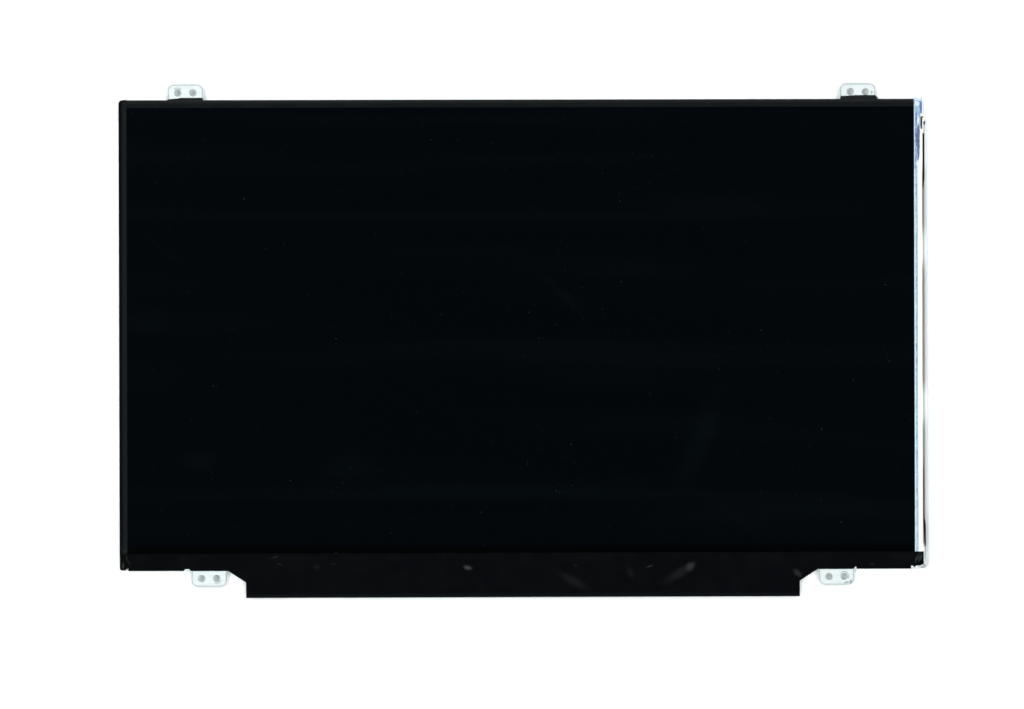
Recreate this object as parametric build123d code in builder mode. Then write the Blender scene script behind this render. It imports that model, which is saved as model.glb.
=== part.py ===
from build123d import *
import os

os.makedirs("parts", exist_ok=True)

# A 14-inch slim laptop screen panel, lying face up. +X is the picture's right, +Y its top and
# +Z points out of the screen. The origin is the middle of the back cover's rear face.

# Back cover, a folded aluminium pan
cover_width = 320.0
cover_height = 186.8
sheet = 0.3
fold_radius = 0.3
pan_corner = 2.0
corner_lip = 1.1
lip_run = 4.0
lip_side_run = 6.4
corner_run = 5.2
side_corner_run = 8.8
wall_drop = 0.1
bottom_wall = 2.3
wall_slit = 0.4

# The right wall has sprung away from the frame, further at its lower end, which curls round the corner
lean_top = 0.95
lean_bottom = 1.4
right_wall_foot = 2.6
curl_inset = 1.4
curl_foot = 1.25
curl_turn = 80.0

# Mounting ears, folded out of the end walls
ear_width = 13.8
ear_reach = 6.2
ear_rise = 2.0
ear_corner = 2.2
ear_hole = 2.5
ear_hole_pitch = 6.0
ear_hole_row = 3.0
ear_relief = 0.8
relief_depth = 1.0
top_ear_inset = 26.4
bottom_ear_inset = 35.35

# Moulded frame
frame_fit = 0.1
side_rim = 2.4
end_rim = 2.1
shelf_thick = 0.3
shelf_side = 1.5
shelf_top = 1.3
shelf_bottom = 4.3
top_rail = 2.55
bottom_rail = 1.1
loose_corner = 3.0
tongue_head = 6.8
tongue_length = 4.6
tongue_thick = 0.4
tongue_slot = 0.6
tongue_root = 1.6
recess_depth = 0.4
recess_foot = 9.4
recess_taper = 8.0
step_down = 0.45
step_run = 1.2

# Hooks of the frame in windows of the end walls
hook_width = 8.0
hook_height = 0.7
hook_pitch = 64.0
hook_count = 4
hook_z = 1.1
window_play = 0.15

# Backlight, from the cover upwards
reflector_thick = 0.2
guide_thick = 0.7
diffuser_thick = 0.1
prism_thick = 0.15
film_gap = 0.05
film_play = 0.3
film_tab = 12.0
film_tab_reach = 0.7
film_tab_offset = 70.0
led_width = 3.0
led_depth = 0.8
led_height = 0.6
led_pitch = 8.4
led_gap = 0.1
led_setback = 2.9
flex_thick = 0.1
flex_margin = 0.3
flex_overlap = 0.9
tail_width = 8.0

# Glass and its polarizers
rim_tape_thick = 0.05
rim_tape_margin = 0.2
glass_thick = 0.4
glass_play = 0.15
ledge = 3.45
polarizer_thick = 0.15
polarizer_left = 0.15
polarizer_right = 1.25
polarizer_top = 0.4
polarizer_foot = 0.8
polarizer_play = 0.4

# Driver films and their chips
driver_count = 4
driver_film_thick = 0.05
driver_bond = 1.7
driver_board_bond = 1.8
driver_glass_width = 32.0
driver_board_width = 25.0
driver_chip_length = 19.0
driver_chip_depth = 1.2
driver_chip_height = 0.4
driver_chip_play = 0.3

# Circuit board below the lower edge
board_width = 220.0
board_height = 10.2
board_gap = 0.6
board_thick = 0.6
board_corner = 0.8

# Border tapes
tape = 0.08
tape_fold = 0.12
tape_wrap = 1.4
tape_short = 0.3
tape_corner_cut = 1.6
tape_corner_run = 5.0
drape_run = 1.6
top_tab_left = 0.95
top_tab_right = 1.55
shoulder_run = 7.1
shoulder_drop = 4.6

# Scrap of clear film left on the right margin
scrap_thick = 0.05
scrap_gap = 0.1
scrap_over = 0.4
scrap_length = 30.2
scrap_head = 6.3
scrap_neck = 2.3
scrap_taper = 15.0
scrap_foot = 1.1

# Signal connector on the back of the board
signal_pins = 30
signal_pitch = 0.5
signal_depth = 4.4
signal_height = 1.05
signal_base = 0.25
signal_arm = 2.4
signal_back = 1.5
signal_shell = 0.12
contact_width = 0.2
contact_thick = 0.12
contact_play = 0.03
contact_tail = 0.6
contact_setback = 0.5
shell_setback = 0.4
shell_windows = 3
shell_window_pitch = 6.0
shell_window_width = 2.4
shell_window_depth = 0.8

# Backlight connector
backlight_depth = 3.4
backlight_height = 0.9
backlight_cheek = 0.8
backlight_entry = 2.0
backlight_slot = 0.4
latch_depth = 1.1
latch_thick = 0.3
slot_play = 0.05

# Parts on the back of the board
timing_size = 6.0
timing_height = 0.85
power_size = 5.0
led_driver_size = 4.0
pin_mark = 0.4
soic_depth = 4.4
soic_height = 0.9
memory_width = 3.0
memory_lead_count = 4
gamma_width = 5.0
gamma_lead_count = 7
memory_step = 8.0
gamma_step = 8.0
resistor_step = 7.0
lead_pitch = 0.65
lead_width = 0.25
lead_thick = 0.12
lead_standoff = 0.1
lead_knee = 0.35
lead_reach = 1.0
inductor_step = 7.5
power_drum = 4.0
boost_drum = 5.0
drum_height = 1.1
drum_flange = 0.25
flange_sides = 8
drum_inset = 0.4
diode_step = 12.5
diode_width = 1.6
diode_depth = 2.6
diode_height = 0.9
diode_tab = 0.9
diode_tab_reach = 0.5
diode_tab_thick = 0.2
capacitor_width = 0.8
capacitor_length = 1.6
capacitor_height = 0.8
capacitor_pitch = 2.0
capacitors_in_row = 4
capacitor_row_gap = 2.6
small_margin = 0.3
resistor_width = 0.5
resistor_length = 1.0
resistor_height = 0.35
resistor_pitch = 1.2
resistor_row_pitch = 2.2
resistors_in_row = 5
resistor_rows = 3
resistor_inset = 8.0

# Heights, worked out from the stack
guide_z = sheet + reflector_thick
films_z = guide_z + guide_thick
films_top = films_z + 2 * diffuser_thick + 2 * prism_thick
shelf_z = films_top + film_gap
pocket_z = shelf_z + shelf_thick
array_z = pocket_z + rim_tape_thick
ledge_z = array_z + glass_thick
face_z = ledge_z + glass_thick
step_z = face_z - step_down
wall_top = face_z - wall_drop
board_z = ledge_z - board_thick

# Outlines, worked out from the cover inwards
half_width = cover_width / 2
half_height = cover_height / 2
frame_x = half_width - sheet - frame_fit
frame_corner = pan_corner - sheet - frame_fit
frame_y = half_height - sheet - frame_fit
pocket_x = frame_x - side_rim
pocket_y = frame_y - end_rim
window_x = pocket_x - shelf_side
window_top = pocket_y - shelf_top
window_bottom = -pocket_y + shelf_bottom
cavity_top = frame_y - top_rail
cavity_bottom = -frame_y + bottom_rail
guide_x = pocket_x - film_play
guide_top = cavity_top - film_play
guide_bottom = cavity_bottom + led_setback
glass_x = pocket_x - glass_play
glass_y = pocket_y - glass_play
colour_bottom = -glass_y + ledge
flex_bottom = cavity_bottom + flex_margin
flex_top = guide_bottom + flex_overlap
board_top = -half_height - board_gap
board_bottom = board_top - board_height
board_mid = (board_top + board_bottom) / 2
driver_pitch = board_width / driver_count
tongue_tip = half_height - tongue_head - tongue_slot
tongue_foot = tongue_tip - tongue_length
recess_top = tongue_foot - tongue_root
recess_bottom = -half_height + recess_foot
top_ear_offset = half_width - top_ear_inset
bottom_ear_offset = half_width - bottom_ear_inset
mid_sheet = sheet / 2
fold_mid = fold_radius + mid_sheet
tail_x = driver_pitch * (driver_count - 1) / 2
signal_x = -tail_x
tail_slot = tail_width + 2 * film_play

# The back of the board as a drawing plane: its own Y runs towards the board's lower edge
board_back = Plane(origin=(0, board_mid, board_z), x_dir=(1, 0, 0), z_dir=(0, 0, -1))


def keep(piece, name):
    """Label a finished piece and write it."""
    piece.part.label = name
    export_step(piece.part, f"parts/{name}.step")


def slab(left, right, bottom, top, z, height, mode=Mode.ADD):
    """A flat rectangular layer between two heights."""
    with BuildSketch(Plane.XY.offset(z)) as outline:
        with Locations(((left + right) / 2, (bottom + top) / 2)):
            Rectangle(right - left, top - bottom)
    extrude(outline.sketch, amount=height, mode=mode)


def strip(plane, length, points, thickness, radius):
    """A folded strip: its section follows the points, and it runs along the plane's normal."""
    with BuildSketch(plane) as section:
        with BuildLine():
            FilletPolyline(*points, radius=radius)
        trace(line_width=thickness)
    extrude(section.sketch, amount=length)


def chip(u, v, width, depth, height):
    """A block standing on the back of the board."""
    with BuildSketch(board_back) as footprint:
        with Locations((u, v)):
            Rectangle(width, depth)
    extrude(footprint.sketch, amount=height)


# Back cover
ear_mid = ear_rise + mid_sheet
fold_depth = fold_radius + sheet
foot_run = half_height + colour_bottom + wall_slit
left_wall_top = half_height - side_corner_run
left_wall_bottom = -half_height + foot_run
right_wall_top = half_height - side_corner_run
right_wall_bottom = -half_height + right_wall_foot
right_gap_top = right_wall_top + wall_slit
right_gap_bottom = right_wall_bottom - wall_slit
wall_root = half_width - fold_depth - sheet
wall_face = half_width - mid_sheet
end_wall_x = half_width - corner_run
ear_slot = ear_width + 2 * ear_relief
ear_rows = ((1, top_ear_offset, wall_top), (-1, bottom_ear_offset, bottom_wall))
top_hook_xs = [hook_pitch * (number - (hook_count - 1) / 2) for number in range(hook_count)]
bottom_hook_xs = [driver_pitch * (number - (driver_count - 2) / 2) for number in range(driver_count - 1)]
hook_rows = ((1, top_hook_xs), (-1, bottom_hook_xs))
window_height = hook_height + 2 * window_play
window_width = hook_width + 2 * window_play


def end_wall(end, start, stop, height):
    """A straight wall folded up from the top or the bottom edge of the back."""
    root = end * (half_height - fold_depth - sheet)
    face = end * (half_height - mid_sheet)
    strip(
        Plane.YZ.offset(start),
        stop - start,
        ((root, mid_sheet), (face, mid_sheet), (face, height)),
        sheet,
        fold_mid,
    )


with BuildPart() as back_cover:
    # Flat back with rounded corners, notched where walls and ears are folded up
    with BuildSketch():
        RectangleRounded(cover_width, cover_height, pan_corner)
        with GridLocations(0, cover_height, 1, 2):
            Rectangle(2 * end_wall_x, 2 * fold_depth, mode=Mode.SUBTRACT)
        with Locations((-half_width, (left_wall_top + left_wall_bottom) / 2)):
            Rectangle(2 * fold_depth, left_wall_top - left_wall_bottom, mode=Mode.SUBTRACT)
        for end, ear_offset, height in ear_rows:
            with Locations((0, end * half_height)):
                with GridLocations(2 * ear_offset, 0, 2, 1):
                    Rectangle(ear_slot, 2 * relief_depth, mode=Mode.SUBTRACT)
    extrude(amount=sheet)
    # Low lips round the corners
    with BuildSketch():
        RectangleRounded(cover_width, cover_height, pan_corner)
        RectangleRounded(
            cover_width - 2 * sheet, cover_height - 2 * sheet, pan_corner - sheet, mode=Mode.SUBTRACT
        )
        Rectangle(cover_width - 2 * lip_run, cover_height, mode=Mode.SUBTRACT)
        Rectangle(cover_width, cover_height - 2 * lip_side_run, mode=Mode.SUBTRACT)
    extrude(amount=corner_lip)
    # Left wall, and the stretches of the end walls that the ears leave
    strip(
        Plane.XZ.offset(-left_wall_top),
        left_wall_top - left_wall_bottom,
        ((-wall_root, mid_sheet), (-wall_face, mid_sheet), (-wall_face, wall_top)),
        sheet,
        fold_mid,
    )
    for end, ear_offset, height in ear_rows:
        end_wall(end, -end_wall_x, -ear_offset - ear_slot / 2, height)
        end_wall(end, -ear_offset + ear_slot / 2, ear_offset - ear_slot / 2, height)
        end_wall(end, ear_offset + ear_slot / 2, end_wall_x, height)
    # The right wall stands in a cut of its own and leans out, more at its lower end
    slab(wall_root + sheet, half_width, right_gap_bottom, right_gap_top, 0, wall_top, Mode.SUBTRACT)
    for level, lean in ((right_wall_top, lean_top), (right_wall_bottom, lean_bottom)):
        with BuildSketch(Plane.XZ.offset(-level)):
            with BuildLine():
                FilletPolyline(
                    (wall_root, mid_sheet), (wall_face, mid_sheet), (wall_face + lean, wall_top),
                    radius=fold_mid,
                )
            trace(line_width=sheet)
    loft(ruled=True)
    curl_x = wall_face + lean_bottom * (curl_foot - mid_sheet) / (wall_top - mid_sheet)
    with BuildSketch(Plane.XZ.offset(-right_wall_bottom)):
        with BuildLine():
            Line((curl_x, curl_foot), (wall_face + lean_bottom, wall_top))
        trace(line_width=sheet)
    revolve(
        axis=Axis((half_width - curl_inset, right_wall_bottom, 0), (0, 0, -1)), revolution_arc=curl_turn
    )
    # Ears, folded up and out between relief notches
    for end, ear_offset, height in ear_rows:
        root = end * (half_height - 2 * relief_depth)
        face = end * (half_height - mid_sheet)
        tip = end * (half_height + ear_reach)
        for hand in (-1, 1):
            strip(
                Plane.YZ.offset(hand * ear_offset - ear_width / 2),
                ear_width,
                ((root, mid_sheet), (face, mid_sheet), (face, ear_mid), (tip, ear_mid)),
                sheet,
                fold_mid,
            )
    upright = back_cover.edges().filter_by(Axis.Z).group_by(Axis.Y)
    fillet(upright[0] + upright[-1], ear_corner)
    for end, ear_offset, height in ear_rows:
        with Locations((0, end * (half_height + ear_hole_row), ear_mid)):
            with GridLocations(2 * ear_offset, 0, 2, 1):
                with GridLocations(ear_hole_pitch, 0, 2, 1):
                    Cylinder(ear_hole / 2, 2 * sheet, mode=Mode.SUBTRACT)
    # Windows for the frame's hooks, and the notch for the light strip's tail
    for end, hook_xs in hook_rows:
        with Locations([(hook_x, end * half_height, hook_z + hook_height / 2) for hook_x in hook_xs]):
            Box(window_width, 4 * sheet, window_height, mode=Mode.SUBTRACT)
    slab(
        tail_x - tail_slot / 2, tail_x + tail_slot / 2, -half_height, -half_height + relief_depth, 0, hook_z,
        Mode.SUBTRACT,
    )
keep(back_cover, "back_cover")

# Moulded frame
with BuildPart() as mould_frame:
    # Its lower right corner is cut rounder than the others
    with BuildSketch(Plane.XY.offset(sheet)) as frame_outline:
        Rectangle(2 * frame_x, 2 * frame_y)
        corners = frame_outline.vertices().sort_by(Axis((0, 0, 0), (1, -1, 0)))
        fillet(corners[:-1], frame_corner)
        fillet(frame_outline.vertices().sort_by(Axis((0, 0, 0), (1, -1, 0)))[-1], loose_corner)
    extrude(amount=face_z - sheet)
    chamfer(mould_frame.faces().sort_by(Axis.Z)[0].edges(), fold_radius)
    # In both sides a springy tongue, cut free by a hooked slot, and below it a long recess that runs out
    slot_x = frame_x - tongue_thick - tongue_slot / 2
    slot_y = tongue_tip + tongue_slot / 2
    with BuildSketch(Plane.XY.offset(sheet)) as side_cuts:
        with BuildLine():
            Polyline(
                (frame_x, recess_top),
                (frame_x - recess_depth, recess_top),
                (frame_x - recess_depth, recess_bottom + recess_taper),
                (frame_x, recess_bottom),
                close=True,
            )
        make_face()
        fillet(side_cuts.vertices().sort_by(Axis.X)[:2].sort_by(Axis.Y)[-1], recess_depth / 2)
        with BuildLine():
            FilletPolyline(
                (frame_x + tongue_slot, slot_y), (slot_x, slot_y), (slot_x, tongue_foot), radius=tongue_slot
            )
        trace(line_width=tongue_slot)
        mirror(about=Plane.YZ)
    extrude(amount=face_z - sheet, mode=Mode.SUBTRACT)
    # Room for the light guide and its tabs below the shelf, the glass above it, and the window
    slab(-pocket_x, pocket_x, cavity_bottom, cavity_top, sheet, shelf_z - sheet, Mode.SUBTRACT)
    with Locations((0, cavity_top, sheet)):
        with GridLocations(2 * film_tab_offset, 0, 2, 1):
            Box(
                film_tab + 2 * film_play, 2 * film_tab_reach, shelf_z - sheet,
                align=(Align.CENTER, Align.CENTER, Align.MIN), mode=Mode.SUBTRACT,
            )
    slab(-pocket_x, pocket_x, -pocket_y, pocket_y, pocket_z, face_z - pocket_z, Mode.SUBTRACT)
    slab(-window_x, window_x, window_bottom, window_top, shelf_z, shelf_thick, Mode.SUBTRACT)
    # The rim steps down beside the ledge, so that the driver films pass over it
    with BuildSketch(Plane.YZ.offset(-half_width)):
        with BuildLine():
            Polyline(
                (-half_height, face_z),
                (colour_bottom, face_z),
                (colour_bottom - step_run, step_z),
                (-half_height, step_z),
                close=True,
            )
        make_face()
    extrude(amount=cover_width, mode=Mode.SUBTRACT)
    # Pockets for the driver chips
    chip_row = -pocket_y - driver_chip_play - driver_chip_depth / 2
    with Locations((0, chip_row, pocket_z)):
        with GridLocations(driver_pitch, 0, driver_count, 1):
            Box(
                driver_chip_length + 2 * driver_chip_play, driver_chip_depth + 2 * driver_chip_play, step_z,
                align=(Align.CENTER, Align.CENTER, Align.MIN), mode=Mode.SUBTRACT,
            )
    # Way out for the light strip's tail
    slab(
        tail_x - tail_slot / 2, tail_x + tail_slot / 2, -half_height, cavity_bottom, sheet, hook_z - sheet,
        Mode.SUBTRACT,
    )
    # Hooks with a sloped underside, seated in the cover's windows
    for end, hook_xs in hook_rows:
        for hook_x in hook_xs:
            with BuildSketch(Plane.YZ.offset(hook_x)):
                with BuildLine():
                    Polyline(
                        (end * frame_y, hook_z),
                        (end * half_height, hook_z + hook_height / 2),
                        (end * half_height, hook_z + hook_height),
                        (end * frame_y, hook_z + hook_height),
                        close=True,
                    )
                make_face()
            extrude(amount=hook_width / 2, both=True)
keep(mould_frame, "mould_frame")


def tabbed_sheet(bottom, z, thickness):
    """A backlight layer with its locating tabs on the top edge."""
    with BuildSketch(Plane.XY.offset(z)) as outline:
        with Locations((0, (bottom + guide_top) / 2)):
            Rectangle(2 * guide_x, guide_top - bottom)
        with Locations((0, guide_top)):
            with GridLocations(2 * film_tab_offset, 0, 2, 1):
                Rectangle(film_tab, 2 * film_tab_reach)
    extrude(outline.sketch, amount=thickness)


# Backlight layers, from the reflector up
film_bottom = guide_bottom + film_play
layers = (
    ("reflector", flex_top + film_play, reflector_thick),
    ("light_guide", guide_bottom, guide_thick),
    ("lower_diffuser", film_bottom, diffuser_thick),
    ("lower_prism_sheet", film_bottom, prism_thick),
    ("upper_prism_sheet", film_bottom, prism_thick),
    ("upper_diffuser", film_bottom, diffuser_thick),
)
layer_z = sheet
for layer_name, layer_bottom, layer_thick in layers:
    with BuildPart() as layer:
        tabbed_sheet(layer_bottom, layer_z, layer_thick)
    keep(layer, layer_name)
    layer_z += layer_thick

# Light strip: flexible circuit on the cover, with a tail up to its connector on the board
strip_length = 2 * guide_x - 2 * film_play
led_count = int((strip_length - led_width) / led_pitch)
led_front = guide_bottom - led_gap
flex_z = sheet + flex_thick / 2
slot_z = board_z - backlight_slot - flex_thick / 2
backlight_mouth = board_top - latch_depth
tail_end = backlight_mouth - backlight_entry

with BuildPart() as led_strip:
    slab(-strip_length / 2, strip_length / 2, flex_bottom, flex_top, sheet, flex_thick)
    strip(
        Plane.YZ.offset(tail_x - tail_width / 2),
        tail_width,
        ((flex_top, flex_z), (-half_height, flex_z), (board_top - film_gap, slot_z), (tail_end, slot_z)),
        flex_thick,
        fold_radius,
    )
keep(led_strip, "led_strip")

with BuildPart() as leds:
    with Locations((0, led_front - led_depth / 2, sheet + flex_thick)):
        with GridLocations(led_pitch, 0, led_count, 1):
            Box(led_width, led_depth, led_height, align=(Align.CENTER, Align.CENTER, Align.MIN))
keep(leds, "leds")

# Double-sided tape round the shelf
with BuildPart() as rim_tape:
    slab(
        -pocket_x + rim_tape_margin, pocket_x - rim_tape_margin, -pocket_y + rim_tape_margin,
        pocket_y - rim_tape_margin, pocket_z, rim_tape_thick,
    )
    slab(-window_x, window_x, window_bottom, window_top, pocket_z, rim_tape_thick, Mode.SUBTRACT)
keep(rim_tape, "rim_tape")

# Glass cell
with BuildPart() as rear_polarizer:
    slab(
        -window_x + polarizer_play, window_x - polarizer_play, window_bottom + polarizer_play,
        window_top - polarizer_play, array_z - polarizer_thick, polarizer_thick,
    )
keep(rear_polarizer, "rear_polarizer")

with BuildPart() as array_glass:
    slab(-glass_x, glass_x, -glass_y, glass_y, array_z, glass_thick)
keep(array_glass, "array_glass")

with BuildPart() as colour_filter_glass:
    slab(-glass_x, glass_x, colour_bottom, glass_y, ledge_z, glass_thick)
keep(colour_filter_glass, "colour_filter_glass")

# The front polarizer leaves a wider bare margin at the right
screen_left = -glass_x + polarizer_left
screen_right = glass_x - polarizer_right
screen_bottom = colour_bottom + polarizer_foot
screen_top = glass_y - polarizer_top
with BuildPart() as front_polarizer:
    slab(screen_left, screen_right, screen_bottom, screen_top, face_z, polarizer_thick)
keep(front_polarizer, "front_polarizer")

# Driver films from the ledge to the board, each with its chip hanging in the frame's pocket
for number in range(driver_count):
    film_x = driver_pitch * (number - (driver_count - 1) / 2)
    film_top = -glass_y + driver_bond
    film_foot = board_top - driver_board_bond
    with BuildPart() as driver_film:
        with BuildSketch(Plane.XY.offset(ledge_z)):
            with BuildLine():
                Polyline(
                    (film_x - driver_glass_width / 2, film_top),
                    (film_x + driver_glass_width / 2, film_top),
                    (film_x + driver_glass_width / 2, -half_height),
                    (film_x + driver_board_width / 2, board_top),
                    (film_x + driver_board_width / 2, film_foot),
                    (film_x - driver_board_width / 2, film_foot),
                    (film_x - driver_board_width / 2, board_top),
                    (film_x - driver_glass_width / 2, -half_height),
                    close=True,
                )
            make_face()
        extrude(amount=driver_film_thick)
    keep(driver_film, f"driver_film_{number + 1}")
    with BuildPart() as driver_chip:
        with Locations((film_x, chip_row, ledge_z)):
            Box(
                driver_chip_length, driver_chip_depth, driver_chip_height,
                align=(Align.CENTER, Align.CENTER, Align.MAX),
            )
    keep(driver_chip, f"driver_chip_{number + 1}")

# Circuit board
with BuildPart() as circuit_board:
    with BuildSketch(Plane.XY.offset(board_z)):
        with Locations((0, board_mid)):
            RectangleRounded(board_width, board_height, board_corner)
    extrude(amount=board_thick)
keep(circuit_board, "circuit_board")

# Signal connector: insulator, sheet-metal shell and a row of contacts, its mouth at the board's edge
signal_width = signal_pins * signal_pitch + 2 * signal_arm
signal_v = (board_height - signal_depth) / 2
signal_rear = signal_v - signal_depth / 2
with BuildPart() as signal_connector_housing:
    chip(signal_x, signal_v, signal_width, signal_depth, signal_height - signal_shell)
    with BuildSketch(board_back.offset(signal_base)):
        with Locations((signal_x, signal_v + signal_back / 2)):
            Rectangle((signal_pins + 1) * signal_pitch, signal_depth - signal_back)
    extrude(amount=signal_height, mode=Mode.SUBTRACT)
    with BuildSketch(board_back.offset(signal_base)):
        with Locations((signal_x, signal_rear + signal_back / 2)):
            with GridLocations(signal_pitch, 0, signal_pins, 1):
                Rectangle(contact_width + 2 * contact_play, signal_back)
    extrude(amount=contact_thick + contact_play, mode=Mode.SUBTRACT)
keep(signal_connector_housing, "signal_connector_housing")

shell_x = (signal_width + signal_shell) / 2
shell_h = signal_height - signal_shell / 2
with BuildPart() as signal_connector_shell:
    strip(
        Plane(origin=(signal_x, board_bottom, board_z), x_dir=(1, 0, 0), z_dir=(0, 1, 0)),
        signal_depth - shell_setback,
        ((-shell_x, 0), (-shell_x, shell_h), (shell_x, shell_h), (shell_x, 0)),
        signal_shell,
        0,
    )
    with BuildSketch(board_back.offset(signal_height - signal_shell)):
        with Locations((signal_x, signal_v)):
            with GridLocations(shell_window_pitch, 0, shell_windows, 1):
                Rectangle(shell_window_width, shell_window_depth)
    extrude(amount=signal_shell, mode=Mode.SUBTRACT)
keep(signal_connector_shell, "signal_connector_shell")

contact_h = signal_base + contact_thick / 2
contact_foot = signal_rear - contact_thick
contact_tip = signal_v + signal_depth / 2 - contact_setback
with BuildPart() as signal_contacts:
    for pin in range(signal_pins):
        contact_x = signal_x + signal_pitch * (pin - (signal_pins - 1) / 2) - contact_width / 2
        strip(
            Plane(origin=(contact_x, board_mid, board_z), x_dir=(0, -1, 0), z_dir=(1, 0, 0)),
            contact_width,
            (
                (contact_tip, contact_h),
                (contact_foot, contact_h),
                (contact_foot, contact_thick / 2),
                (contact_foot - contact_tail, contact_thick / 2),
            ),
            contact_thick,
            0,
        )
keep(signal_contacts, "signal_contacts")

# Backlight connector: the strip's tail enters from above, under a hinged latch bar
backlight_width = tail_width + 2 * film_play + 2 * backlight_cheek
backlight_mouth_v = board_mid - backlight_mouth
backlight_v = backlight_mouth_v + backlight_depth / 2
latch_v = backlight_v + (backlight_depth - latch_depth) / 2
with BuildPart() as backlight_connector:
    chip(tail_x, backlight_v, backlight_width, backlight_depth, backlight_height)
    with BuildSketch(board_back.offset(backlight_slot - slot_play)):
        with Locations((tail_x, backlight_mouth_v)):
            Rectangle(tail_width + 2 * film_play, 2 * (backlight_entry + slot_play))
    extrude(amount=flex_thick + 2 * slot_play, mode=Mode.SUBTRACT)
    with BuildSketch(board_back.offset(backlight_height - latch_thick)):
        with Locations((tail_x, latch_v)):
            Rectangle(tail_width + 2 * slot_play, latch_depth)
    extrude(amount=latch_thick, mode=Mode.SUBTRACT)
keep(backlight_connector, "backlight_connector")

with BuildPart() as backlight_connector_latch:
    with BuildSketch(board_back.offset(backlight_height - latch_thick)):
        with Locations((tail_x, latch_v)):
            Rectangle(tail_width, latch_depth)
    extrude(amount=latch_thick)
    fillet(backlight_connector_latch.edges().filter_by(Axis.X).group_by(Axis.Z)[0], latch_thick / 3)
keep(backlight_connector_latch, "backlight_connector_latch")


def flat_chip(u, size, height):
    """A leadless square chip, its first corner cut."""
    with BuildSketch(board_back) as footprint:
        with Locations((u, 0)):
            Rectangle(size, size)
        chamfer(footprint.vertices().group_by(Axis.X)[0].sort_by(Axis.Y)[0], pin_mark)
    extrude(footprint.sketch, amount=height)


def leaded_chip(u, width, leads):
    """A small chip with a row of bent leads on two sides."""
    with BuildSketch(board_back.offset(lead_standoff)) as body:
        with Locations((u, 0)):
            Rectangle(width, soic_depth)
    extrude(body.sketch, amount=soic_height)
    lead_h = lead_standoff + soic_height / 2
    for side in (-1, 1):
        for lead in range(leads):
            lead_x = u + lead_pitch * (lead - (leads - 1) / 2) - lead_width / 2
            strip(
                Plane(origin=(lead_x, board_mid, board_z), x_dir=(0, -1, 0), z_dir=(1, 0, 0)),
                lead_width,
                (
                    (side * (soic_depth / 2 - lead_thick), lead_h),
                    (side * (soic_depth / 2 + lead_knee), lead_h),
                    (side * (soic_depth / 2 + lead_knee), lead_thick / 2),
                    (side * (soic_depth / 2 + lead_reach), lead_thick / 2),
                ),
                lead_thick,
                0,
            )


def drum_inductor(u, size, height):
    """A wound drum core: two eight-sided flanges with the winding between them."""
    for level, thickness in ((0, drum_flange), (height - drum_flange, drum_flange)):
        with BuildSketch(board_back.offset(level)) as flange:
            with Locations((u, 0)):
                RegularPolygon(size / 2, flange_sides, major_radius=False, rotation=180 / flange_sides)
        extrude(flange.sketch, amount=thickness)
    with BuildSketch(board_back) as winding:
        with Locations((u, 0)):
            Circle(size / 2 - drum_inset)
    extrude(winding.sketch, amount=height)


# Chips and wound parts along the middle of the board
timing_x = -driver_pitch / 2
memory_x = timing_x - memory_step
power_x = driver_pitch / 2
led_driver_x = driver_pitch
with BuildPart() as timing_chip:
    flat_chip(timing_x, timing_size, timing_height)
keep(timing_chip, "timing_chip")

with BuildPart() as power_chip:
    flat_chip(power_x, power_size, timing_height)
keep(power_chip, "power_chip")

with BuildPart() as led_driver_chip:
    flat_chip(led_driver_x, led_driver_size, timing_height)
keep(led_driver_chip, "led_driver_chip")

with BuildPart() as memory_chip:
    leaded_chip(memory_x, memory_width, memory_lead_count)
keep(memory_chip, "memory_chip")

with BuildPart() as gamma_chip:
    leaded_chip(0, gamma_width, gamma_lead_count)
keep(gamma_chip, "gamma_chip")

with BuildPart() as power_inductor:
    drum_inductor(power_x + inductor_step, power_drum, drum_height)
keep(power_inductor, "power_inductor")

with BuildPart() as boost_inductor:
    drum_inductor(led_driver_x + inductor_step, boost_drum, drum_height)
keep(boost_inductor, "boost_inductor")

with BuildPart() as diodes:
    for source_x in (power_x, led_driver_x):
        chip(source_x + diode_step, 0, diode_width, diode_depth, diode_height)
        chip(source_x + diode_step, 0, diode_tab, diode_depth + 2 * diode_tab_reach, diode_tab_thick)
keep(diodes, "diodes")

# Ceramic capacitors beside the parts they serve, and rows of small resistors
row_v = board_height / 2 - small_margin
with BuildPart() as capacitors:
    with BuildSketch(board_back):
        for group_x in (timing_x, power_x, led_driver_x, -gamma_step):
            with Locations((group_x, 0)):
                with GridLocations(capacitor_pitch, 2 * row_v - capacitor_length, capacitors_in_row, 2):
                    Rectangle(capacitor_width, capacitor_length)
        with Locations((signal_x, signal_rear - capacitor_row_gap)):
            with GridLocations(capacitor_pitch, 0, 2 * capacitors_in_row, 1):
                Rectangle(capacitor_width, capacitor_length)
    extrude(amount=capacitor_height)
keep(capacitors, "capacitors")

with BuildPart() as resistors:
    with BuildSketch(board_back):
        for group_x in (memory_x - resistor_step, gamma_step, -board_width / 2 + resistor_inset):
            with Locations((group_x, 0)):
                with GridLocations(resistor_pitch, resistor_row_pitch, resistors_in_row, resistor_rows):
                    Rectangle(resistor_width, resistor_length)
    extrude(amount=resistor_height)
keep(resistors, "resistors")

# Border tapes
tape_z = face_z + tape / 2
low_z = ledge_z + tape / 2
film_tape_z = ledge_z + driver_film_thick + tape / 2
drape_top = colour_bottom - tape
drape_foot = drape_top - drape_run
tape_left = screen_left
tape_end = frame_x - tape_short
wrap_y = half_height + tape / 2
wrap_x = -half_width - tape / 2
top_wall_edge = half_height - frame_fit

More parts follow.
